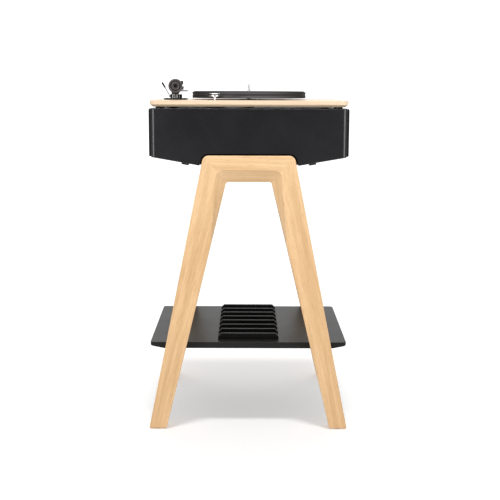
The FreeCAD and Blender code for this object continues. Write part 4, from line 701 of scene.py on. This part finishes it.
class CONSOLE_OT_record_shelf(bpy.types.Operator):
    """Finishes the shelf, its record dividers and its brackets"""

    bl_idname = "console.record_shelf"
    bl_label = "Finish the record shelf"

    def execute(self, context):
        tints = context.scene.console_finishes
        black = tints.satin_black
        paint(finish("shelf_lacquer", lacquer_film, gloss=0.2, relief=0.12, rough=0.42,
                     **tones(black, 0.7, 1.3, "haze")), "shelf_board")
        # Painted shade: the dividers take the same satin black at about half the shelf's tone, for the shade
        # they stand in
        divider = finish("divider_lacquer", lacquer_film, gloss=0.1, relief=0.08, rough=0.45,
                         **tones(black, 0.3, 0.6, "haze"))
        paint(divider, *(f"record_divider_{row}" for row in range(1, 9)))
        paint(finish("bracket_coat", lacquer_film, relief=0.3, rough=0.5,
                     **tones(black, 0.8, 1.5, "haze")), "shelf_brackets")
        return {"FINISHED"}


class CONSOLE_OT_turntable(bpy.types.Operator):
    """Finishes the plate, the platter and their drive"""

    bl_idname = "console.turntable"
    bl_label = "Finish the turntable"

    # Painted shade on the platter's rim: how far the rim is turned away as it darkens, and what its colour
    # is multiplied by there
    fall_off = (0.05, 0.6)
    dark = (0.25, 0.25, 0.25)

    def execute(self, context):
        tints = context.scene.console_finishes
        paint(finish("plate_oak", oak_grain, (0, QUARTER, 0), (0.4, 0.9, 0.55), coat=0.3, relief=0.15,
                     light=tints.plate_light, dark=tints.plate_dark, pore=tints.oak_dark),
              "turntable_plate")
        paint(finish("soft_rubber", moulded_grain, relief=0.4, scale=1200.0, rough=0.7,
                     **tones(tints.rubber, 1, 2)), "plate_dampers", "drive_belt")
        platter = finish("platter_black", turned_marks, centre=middle("platter"), gloss=0.03, relief=0.05,
                         pitch=0.6 * MM, rough=0.5, **tones(tints.black_metal, 3.8, 6.8))
        # The platter's rim gets painted shade where it turns away
        paint(self.darker_aslant(platter), "platter")
        bright = tints.bright_metal
        for name, share in (("motor_pulley", 0.8), ("platter_spindle", 0.5)):
            paint(finish(name + "_metal", turned_marks, centre=middle(name), metallic=1.0, relief=0.03,
                         pitch=0.3 * MM, rough=0.45, **tones(bright, 0.85 * share, share)), name)
        # The bearing housing's steel is darkened to a quarter: painted shade for the shadow under the
        # platter; the motor body keeps most of its tone
        for name, share in (("bearing_housing", 0.25), ("motor_body", 0.7)):
            paint(finish(name + "_steel", turned_marks, centre=middle(name), metallic=1.0, relief=0.1,
                         pitch=0.5 * MM, rough=0.4, **tones(tints.steel, 0.7 * share, share)), name)
        return {"FINISHED"}

    def darker_aslant(self, material):
        """Paints shade onto the anodised rim where it turns away from the view."""
        tree = material.node_tree
        turned = node(tree, "LayerWeight", {"Blend": 0.5}).outputs["Facing"]
        return overlay(material, spread(tree, turned, *self.fall_off), factors=self.dark)


class CONSOLE_OT_platter_mat(bpy.types.Operator):
    """Models the ribbed rubber mat on the platter"""

    bl_idname = "console.platter_mat"
    bl_label = "Model the platter mat"

    def execute(self, context):
        tints = context.scene.console_finishes
        sizes = context.scene.console_details
        low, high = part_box("platter_mat")
        outer = (high.x - low.x) / 2
        hole = sizes.mat_hole
        bpy.ops.object.select_all(action="DESELECT")
        bpy.ops.mesh.primitive_cylinder_add(vertices=144, radius=outer, depth=high.z - low.z,
                                            location=middle("platter_mat"))
        mat = start_piece("ribbed_mat")
        pick(mat, "FACE", lambda mesh, face: face.normal.z > FACING)
        self.ribs(sizes, outer)
        bpy.ops.mesh.inset(thickness=sizes.label_slope, depth=-sizes.label_depth)
        bpy.ops.mesh.inset(thickness=sizes.label_radius - sizes.label_slope - hole)
        bpy.ops.mesh.delete(type="FACE")
        pick(mat, "FACE", lambda mesh, face: face.normal.z < -FACING)
        bpy.ops.mesh.inset(thickness=outer - hole)
        bpy.ops.mesh.delete(type="FACE")
        near = hole + 0.2 * MM
        pick(mat, "EDGE", lambda mesh, edge: all(end.xy.length < near for end in ends(mesh, edge)))
        bpy.ops.mesh.bridge_edge_loops()
        close_piece(mat, finish("mat_rubber", moulded_grain, relief=0.4, scale=1300.0, rough=0.6,
                                **tones(tints.rubber, 1, 2.4)), smooth=25)
        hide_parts("platter_mat")
        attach(mat, "platter")
        return {"FINISHED"}

    def ribs(self, sizes, outer):
        """Sinks grooves into the selected top face, from its rim to the edge of the label's recess."""
        bpy.ops.mesh.inset(thickness=sizes.mat_rim)
        reach = outer - sizes.mat_rim
        floor = sizes.groove_share * sizes.rib_pitch
        while reach - sizes.rib_pitch > sizes.label_radius + sizes.label_margin:
            bpy.ops.mesh.inset(thickness=sizes.rib_slope, depth=-sizes.rib_depth)
            bpy.ops.mesh.inset(thickness=floor)
            bpy.ops.mesh.inset(thickness=sizes.rib_slope, depth=sizes.rib_depth)
            bpy.ops.mesh.inset(thickness=sizes.rib_pitch - floor - 2 * sizes.rib_slope)
            reach -= sizes.rib_pitch
        bpy.ops.mesh.inset(thickness=reach - sizes.label_radius)


class CONSOLE_OT_tonearm(bpy.types.Operator):
    """Finishes the tonearm and the fittings round it"""

    bl_idname = "console.tonearm"
    bl_label = "Finish the tonearm"

    # Share of the cue lever's height at which its sleeve begins
    sleeve_start = 0.56

    def execute(self, context):
        tints = context.scene.console_finishes
        along = arm_turn(Vector(JOINTS["counterweight_slide"]["axis"]))
        black = tints.black_metal
        # Broad light and dark rings 7 mm apart, from a quarter to over twice the grey: partly the turned
        # rings of the weight, partly painted highlight of the light they catch
        paint(finish("weight_grey", turned_marks, along, middle("counterweight"), metallic=0.7, relief=0.35,
                     pitch=7 * MM, rough=0.34, **tones(tints.grey_metal, 0.25, 2.6)), "counterweight")
        paint(finish("pillar_chrome", turned_marks, centre=middle("arm_pillar"), metallic=1.0, relief=0.05,
                     pitch=0.3 * MM, rough=0.2, **tones(tints.bright_metal, 0.42, 0.55)), "arm_pillar")
        paint(finish("base_black", turned_marks, centre=middle("arm_pillar"), gloss=0.15, relief=0.15,
                     pitch=0.5 * MM, rough=0.45, **tones(black, 0.7, 1.4)), "arm_base")
        paint(finish("yoke_black", moulded_grain, relief=0.2, scale=1600.0, metallic=0.2, rough=0.38,
                     **tones(black, 1, 1.8)), "arm_yoke", "arm_pivot_block")
        paint(self.tube(tints, along), "arm_tube")
        paint(finish("shell_black", brushed_lines, along, metallic=0.3, relief=0.15, rough=0.36,
                     **tones(black, 1, 2.2)), "headshell")
        paint(finish("fitting_plastic", moulded_grain, gloss=0.25, relief=0.2, scale=1700.0, rough=0.42,
                     **tones(tints.plastic, 0.4, 0.9)),
              "cartridge", "arm_rest", "lift_housing", "antiskate_post")
        paint(finish("lift_black", brushed_lines, gloss=0.05, relief=0.1, rough=0.8,
                     **tones(black, 0.6, 1)), "lift_bar")
        paint(finish("knob_black", turned_marks, centre=middle("antiskate_knob"), metallic=0.2, relief=0.3,
                     pitch=0.5 * MM, rough=0.36, **tones(black, 1, 2.5)), "antiskate_knob")
        paint(self.lever(tints), "cue_lever")
        return {"FINISHED"}

    def tube(self, tints, along):
        """Silver tube in front of the pivot, black stub behind it."""
        material = finish("tube_silver", brushed_lines, along, metallic=1.0, relief=0.1, rough=0.24,
                          **tones(tints.bright_metal, 0.8, 1))
        pivot = JOINTS["arm_lift"]["pos_m"][1]
        stub = spread(material.node_tree, own_place(material, "Y"), pivot, pivot + FINISH_EDGE)
        return sleeved(material, stub, tints.plastic)

    def lever(self, tints):
        """Steel rod below, black sleeve above."""
        material = finish("lever_steel", brushed_lines, metallic=1.0, gloss=0.1, relief=0.1, rough=0.3,
                          **tones(tints.steel, 0.3, 0.5))
        low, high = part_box("cue_lever")
        foot = low.z + self.sleeve_start * (high.z - low.z)
        level = own_place(material, "Z")
        sleeve = spread(material.node_tree, level, foot - FINISH_EDGE, foot + FINISH_EDGE)
        return sleeved(material, sleeve, lighter(tints.plastic, 0.4))


class CONSOLE_OT_weight_beads(bpy.types.Operator):
    """Models the turned beads on the counterweight's rear face"""

    bl_idname = "console.weight_beads"
    bl_label = "Model the counterweight's beads"

    def execute(self, context):
        tints = context.scene.console_finishes
        sizes = context.scene.console_details
        reach = Vector(JOINTS["counterweight_slide"]["axis"])
        if reach.y < 0:
            reach.negate()
        centre = middle("counterweight")
        rear = max(vertex.co.dot(reach) for vertex in NODES["counterweight"].data.vertices)
        face = Matrix.Translation(centre + reach * (rear - centre.dot(reach)))
        face = face @ reach.to_track_quat("Z", "Y").to_matrix().to_4x4()
        beads = [self.bead(radius, sizes.bead_width, sizes.bead_height)
                 for radius in (sizes.inner_bead, sizes.outer_bead)]
        rings = join(beads, "weight_beads")
        rings.data.transform(face)
        close_piece(rings, finish("bead_grey", turned_marks, arm_turn(reach), centre, metallic=0.8,
                                  relief=0.1, pitch=0.4 * MM, rough=0.36, **tones(tints.grey_metal, 2.4, 4)))
        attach(rings, "weight")
        return {"FINISHED"}

    def bead(self, radius, wide, tall):
        """A ring round Z that stands on the XY plane and is sunk a little below it."""
        sunk = 0.5 * tall
        rounding = 0.35 * wide
        bpy.ops.object.select_all(action="DESELECT")
        bpy.ops.mesh.primitive_cylinder_add(vertices=72, radius=radius + wide / 2, depth=tall + sunk,
                                            location=(0, 0, (tall - sunk) / 2))
        bead = start_piece("bead")
        pick(bead, "FACE", lambda mesh, face: abs(face.normal.z) > FACING)
        bpy.ops.mesh.inset(thickness=wide)
        bpy.ops.mesh.delete(type="FACE")
        pick(bead, "EDGE", lambda mesh, edge: all(end.xy.length < radius for end in ends(mesh, edge)))
        bpy.ops.mesh.bridge_edge_loops()
        pick(bead, "EDGE", lambda mesh, edge: all(end.z > 0.9 * tall for end in ends(mesh, edge))
             and abs(ends(mesh, edge)[0].xy.length - ends(mesh, edge)[1].xy.length) < 0.1 * wide)
        bpy.ops.mesh.bevel(offset=rounding, segments=3)
        bpy.ops.object.mode_set(mode="OBJECT")
        return bead


class CONSOLE_OT_electronics(bpy.types.Operator):
    """Finishes the amplifier, the transformer and the sockets under the cabinet"""

    bl_idname = "console.electronics"
    bl_label = "Finish the electronics"

    def execute(self, context):
        tints = context.scene.console_finishes
        plastic = tints.plastic
        paint(finish("board_mask", board_tracks, relief=0.3, mask=tints.board,
                     track=lighter(tints.board, 2.2)), "amplifier_board")
        paint(finish("winding_tape", wound_tape, centre=middle("mains_transformer"), relief=0.6, turns=14.0,
                     base=lighter(tints.winding, 0.6), lap=tints.winding), "mains_transformer")
        paint(finish("sink_anodised", brushed_lines, (QUARTER, 0, 0), metallic=0.8, relief=0.2, rough=0.4,
                     **tones(plastic, 2, 4)), "heat_sink")
        paint(finish("inlet_plastic", moulded_grain, relief=0.25, scale=1500.0, rough=0.45,
                     **tones(plastic, 1, 1.8)), "power_inlet")
        paint(finish("rocker_plastic", moulded_grain, relief=0.1, scale=1900.0, rough=0.3,
                     **tones(plastic, 0.8, 1.3)), "power_switch")
        paint(finish("socket_metal", turned_marks, centre=middle("audio_sockets"), metallic=1.0, relief=0.1,
                     pitch=0.4 * MM, rough=0.22, **tones(tints.steel, 1.1, 1.5)), "audio_sockets")
        return {"FINISHED"}


class CONSOLE_OT_fasteners(bpy.types.Operator):
    """Models the cross-head screws of the brackets, the arm base, the headshell and the inlet"""

    bl_idname = "console.fasteners"
    bl_label = "Model the screws"

    def execute(self, context):
        tints = context.scene.console_finishes
        sizes = context.scene.console_details
        zinc = finish("screw_zinc", brushed_lines, metallic=1.0, relief=0.1, rough=0.32,
                      **tones(tints.steel, 0.6, 1))
        screws = self.fit("bracket_screws", sizes.screw_radius, sizes.screw_height,
                          self.on_brackets(sizes), zinc)
        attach(screws, "console")
        screws = self.fit("base_screws", sizes.small_screw, sizes.low_height, self.on_base(sizes), zinc)
        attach(screws, "console")
        screws = self.fit("shell_screws", sizes.small_screw, sizes.small_height,
                          self.on_headshell(sizes), zinc)
        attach(screws, "arm")
        screws = self.fit("inlet_screws", sizes.small_screw, sizes.small_height, self.on_inlet(sizes), zinc)
        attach(screws, "console")
        return {"FINISHED"}

    def fit(self, name, radius, height, places, metal):
        """Screws of one size at their places, joined to one piece."""
        screws = join_copies(self.screw(radius, height), name, places)
        close_piece(screws, metal)
        return screws

    def on_brackets(self, sizes):
        """Places of the screws in the shelf brackets, up into the shelf and into the legs."""
        low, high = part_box("shelf_brackets")
        sheet = sizes.bracket_sheet
        places = []
        for x_sign, y_sign, step in itertools.product((-1, 1), repeat=3):
            across = x_sign * (high.x - sizes.bracket_inset) + step * sizes.bracket_step
            under = Vector((across, y_sign * (high.y - sizes.shelf_inset), high.z - sheet))
            places.append(Matrix.Translation(under) @ Matrix.Rotation(math.pi, 4, "X"))
            inner = Vector((across, y_sign * (high.y - sheet), low.z + sizes.leg_rise))
            places.append(Matrix.Translation(inner) @ Matrix.Rotation(y_sign * QUARTER, 4, "X"))
        return places

    def on_base(self, sizes):
        """Places of the three screws on top of the arm base, in a circle round the pillar."""
        arm = middle("arm_pillar")
        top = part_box("arm_base")[1].z
        places = []
        for degrees in (90, 210, 330):
            bearing = math.radians(degrees)
            out = sizes.base_circle * Vector((math.cos(bearing), math.sin(bearing), 0))
            places.append(Matrix.Translation(Vector((arm.x, arm.y, top)) + out))
        return places

    def on_headshell(self, sizes):
        """Places of the two screws that hold the cartridge, on top of the headshell."""
        mesh = NODES["cartridge"].data
        sides = [ends(mesh, edge)[1] - ends(mesh, edge)[0] for edge in mesh.edges]
        longest = max((side for side in sides if abs(side.z) < LEVEL), key=lambda side: side.length)
        across = Vector((-longest.y, longest.x, 0)).normalized() * sizes.screw_spacing / 2
        places = []
        for sign in (-1, 1):
            above = middle("cartridge") + sign * across + Vector((0, 0, SEAT_SEARCH))
            places.append(self.seat("headshell", above, -1))
        return places

    def on_inlet(self, sizes):
        """Places of the two screws in the flange of the power inlet, heads down."""
        low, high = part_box("power_inlet")
        places = []
        for across in (low.x + sizes.flange_inset, high.x - sizes.flange_inset):
            below = Vector((across, (low.y + high.y) / 2, low.z - SEAT_SEARCH))
            places.append(self.seat("power_inlet", below, 1) @ Matrix.Rotation(math.pi, 4, "X"))
        return places

    def seat(self, name, start, heading):
        """The spot where a line straight up or down from a start meets a CAD piece."""
        hit, spot, _, _ = NODES[name].ray_cast(start, Vector((0, 0, heading)))
        if not hit:
            raise RuntimeError(f"{name}: no seat for a screw")
        return Matrix.Translation(spot)

    def screw(self, radius, height):
        """A pan head on the XY plane with a cross in its top."""
        rounding = 0.55 * height
        slit_size = (1.1 * radius, 0.24 * radius, height)
        bpy.ops.object.select_all(action="DESELECT")
        bpy.ops.mesh.primitive_cylinder_add(vertices=24, radius=radius, depth=height,
                                            location=(0, 0, height / 2))
        head = start_piece("screw")
        pick(head, "EDGE", lambda mesh, edge: all(end.z > 0.9 * height for end in ends(mesh, edge)))
        bpy.ops.mesh.bevel(offset=rounding, segments=3)
        bpy.ops.object.mode_set(mode="OBJECT")
        for turn in (0, QUARTER):
            bpy.ops.object.select_all(action="DESELECT")
            bpy.ops.mesh.primitive_cube_add(size=1, location=(0, 0, height), rotation=(0, 0, turn),
                                            scale=slit_size)
            slit = start_piece("slit")
            apply_modifier(head, "BOOLEAN", object=slit, operation="DIFFERENCE", solver="EXACT")
            bpy.data.objects.remove(slit)
        return head


# Studio

class CONSOLE_OT_studio(bpy.types.Operator):
    """Builds the pale floor, the soft lights and the camera"""

    bl_idname = "console.studio"
    bl_label = "Build the studio"

    # Y of the directions between which the room dims behind the camera, and whitens to the backdrop
    dim_range = (0.80, 0.985)
    backdrop_range = (-0.2, -0.7)

    def execute(self, context):
        setup = context.scene.console_studio
        self.floor(setup)
        self.room(context.scene, setup)
        self.overhead(setup)
        polished = bpy.data.collections.new("lit_by_strips")
        for name in ("cabinet_shell", "motor_pulley", "platter_spindle"):
            polished.objects.link(NODES[name])
        lit = bpy.data.collections.new("lit_by_softboxes")
        for piece in context.scene.objects:
            if piece.type == "MESH" and piece.name != "floor":
                lit.objects.link(piece)
        for name, side in (("left", 1), ("right", -1)):
            mirror = Vector((side, 1, 1))
            key = self.softbox(name + "_key", setup.side_size, setup.side_power)
            self.hang(key, setup.side_place * mirror, setup.light_aim)
            key.light_linking.receiver_collection = lit
            strip = self.softbox(name + "_strip", setup.strip_size, setup.strip_power)
            self.hang(strip, setup.strip_place * mirror, setup.light_aim)
            strip.light_linking.receiver_collection = polished
            strip.visible_diffuse = False
        self.camera(context.scene, setup)
        context.scene.view_settings.view_transform = "Standard"
        return {"FINISHED"}

    def floor(self, setup):
        """A pale floor that glows a little and has no shine."""
        bpy.ops.object.select_all(action="DESELECT")
        bpy.ops.mesh.primitive_plane_add(size=setup.floor_size, location=(0, 0, 0))
        floor = start_piece("floor")
        material = finish("floor_paint", lacquer_film, gloss=0, relief=0.02, base=setup.floor_colour,
                          haze=lighter(setup.floor_colour, 0.99), rough=0.8)
        shader = material.node_tree.nodes["Principled BSDF"]
        shader.inputs["Emission Color"].default_value = (1, 1, 1, 1)
        shader.inputs["Emission Strength"].default_value = setup.floor_glow
        close_piece(floor, material)

    def room(self, scene, setup):
        """A white backdrop and a dim side behind the camera; the camera itself sees plain white."""
        world = bpy.data.worlds.new("room")
        world.use_nodes = True
        scene.world = world
        tree = world.node_tree
        back = tree.nodes["Background"]
        back.inputs["Color"].default_value = (1, 1, 1, 1)
        behind = axes_of(tree, node(tree, "TexCoord").outputs["Generated"])["Y"]
        light = spread(tree, behind, *self.dim_range, setup.room_light, setup.room_dim)
        white = spread(tree, behind, *self.backdrop_range, 0.0, setup.backdrop)
        seen = node(tree, "LightPath").outputs["Is Camera Ray"]
        light = maths(tree, "MAXIMUM", light, white)
        tree.links.new(maths(tree, "MAXIMUM", light, seen), back.inputs["Strength"])

    def overhead(self, setup):
        """A broad light from above that draws the soft shadow on the floor."""
        light = bpy.data.lights.new("overhead_light", "SUN")
        light.energy = setup.sun_strength
        light.angle = setup.sun_spread
        lamp = bpy.data.objects.new("overhead_light", light)
        self.hang(lamp, setup.sun_place, setup.sun_aim)

    def softbox(self, name, size, watts):
        """A soft light with a rectangular face."""
        light = bpy.data.lights.new(name, "AREA")
        light.shape = "RECTANGLE"
        light.size, light.size_y = size
        light.energy = watts
        return bpy.data.objects.new(name, light)

    def hang(self, lamp, place, aim):
        """Puts a light in its place and points it."""
        lamp.location = place
        lamp.rotation_euler = (aim - place).to_track_quat("-Z", "Y").to_euler()
        bpy.context.scene.collection.objects.link(lamp)

    def camera(self, scene, setup):
        """The camera of the photograph."""
        view = bpy.data.cameras.new("camera")
        view.sensor_width = setup.sensor
        view.lens = setup.lens
        camera = bpy.data.objects.new("camera", view)
        turn = Matrix.Rotation(math.pi - setup.yaw, 4, "Z")
        turn = turn @ Matrix.Rotation(QUARTER - setup.pitch, 4, "X") @ Matrix.Rotation(setup.roll, 4, "Z")
        camera.matrix_world = Matrix.Translation(setup.camera_place) @ turn
        scene.collection.objects.link(camera)
        scene.camera = camera


class CONSOLE_PT_panel(bpy.types.Panel):
    """Buttons and settings of the console"""

    bl_idname = "CONSOLE_PT_panel"
    bl_label = "Console"
    bl_space_type = "VIEW_3D"
    bl_region_type = "UI"
    bl_category = "Console"

    def draw(self, context):
        """Lists the operators, then every setting."""
        layout = self.layout
        for operator in OPERATORS:
            layout.operator(operator.bl_idname)
        for group in SETTINGS:
            box = layout.box()
            settings = getattr(context.scene, group)
            for name in settings.__annotations__:
                box.prop(settings, name)


OPERATORS = (
    CONSOLE_OT_oak_frames, CONSOLE_OT_cabinet, CONSOLE_OT_grilles, CONSOLE_OT_loudspeakers,
    CONSOLE_OT_record_shelf, CONSOLE_OT_turntable, CONSOLE_OT_platter_mat, CONSOLE_OT_tonearm,
    CONSOLE_OT_weight_beads, CONSOLE_OT_electronics, CONSOLE_OT_fasteners, CONSOLE_OT_studio,
)
SETTINGS = {
    "console_finishes": ConsoleFinishes, "console_details": ConsoleDetails, "console_studio": ConsoleStudio,
}
CLASSES = (*SETTINGS.values(), *OPERATORS, CONSOLE_PT_panel)


def register():
    """Makes the classes known and gives every scene its settings."""
    for cls in CLASSES:
        bpy.utils.register_class(cls)
    for name, group in SETTINGS.items():
        setattr(bpy.types.Scene, name, bpy.props.PointerProperty(type=group))


def unregister():
    """Takes back what register did."""
    for name in SETTINGS:
        delattr(bpy.types.Scene, name)
    for cls in reversed(CLASSES):
        bpy.utils.unregister_class(cls)


def main():
    """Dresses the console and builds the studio."""
    register()
    bpy.ops.console.oak_frames()
    bpy.ops.console.cabinet()
    bpy.ops.console.grilles()
    bpy.ops.console.loudspeakers()
    bpy.ops.console.record_shelf()
    bpy.ops.console.turntable()
    bpy.ops.console.platter_mat()
    bpy.ops.console.tonearm()
    bpy.ops.console.weight_beads()
    bpy.ops.console.electronics()
    bpy.ops.console.fasteners()
    bpy.ops.console.studio()


if __name__ == "__main__":
    main()
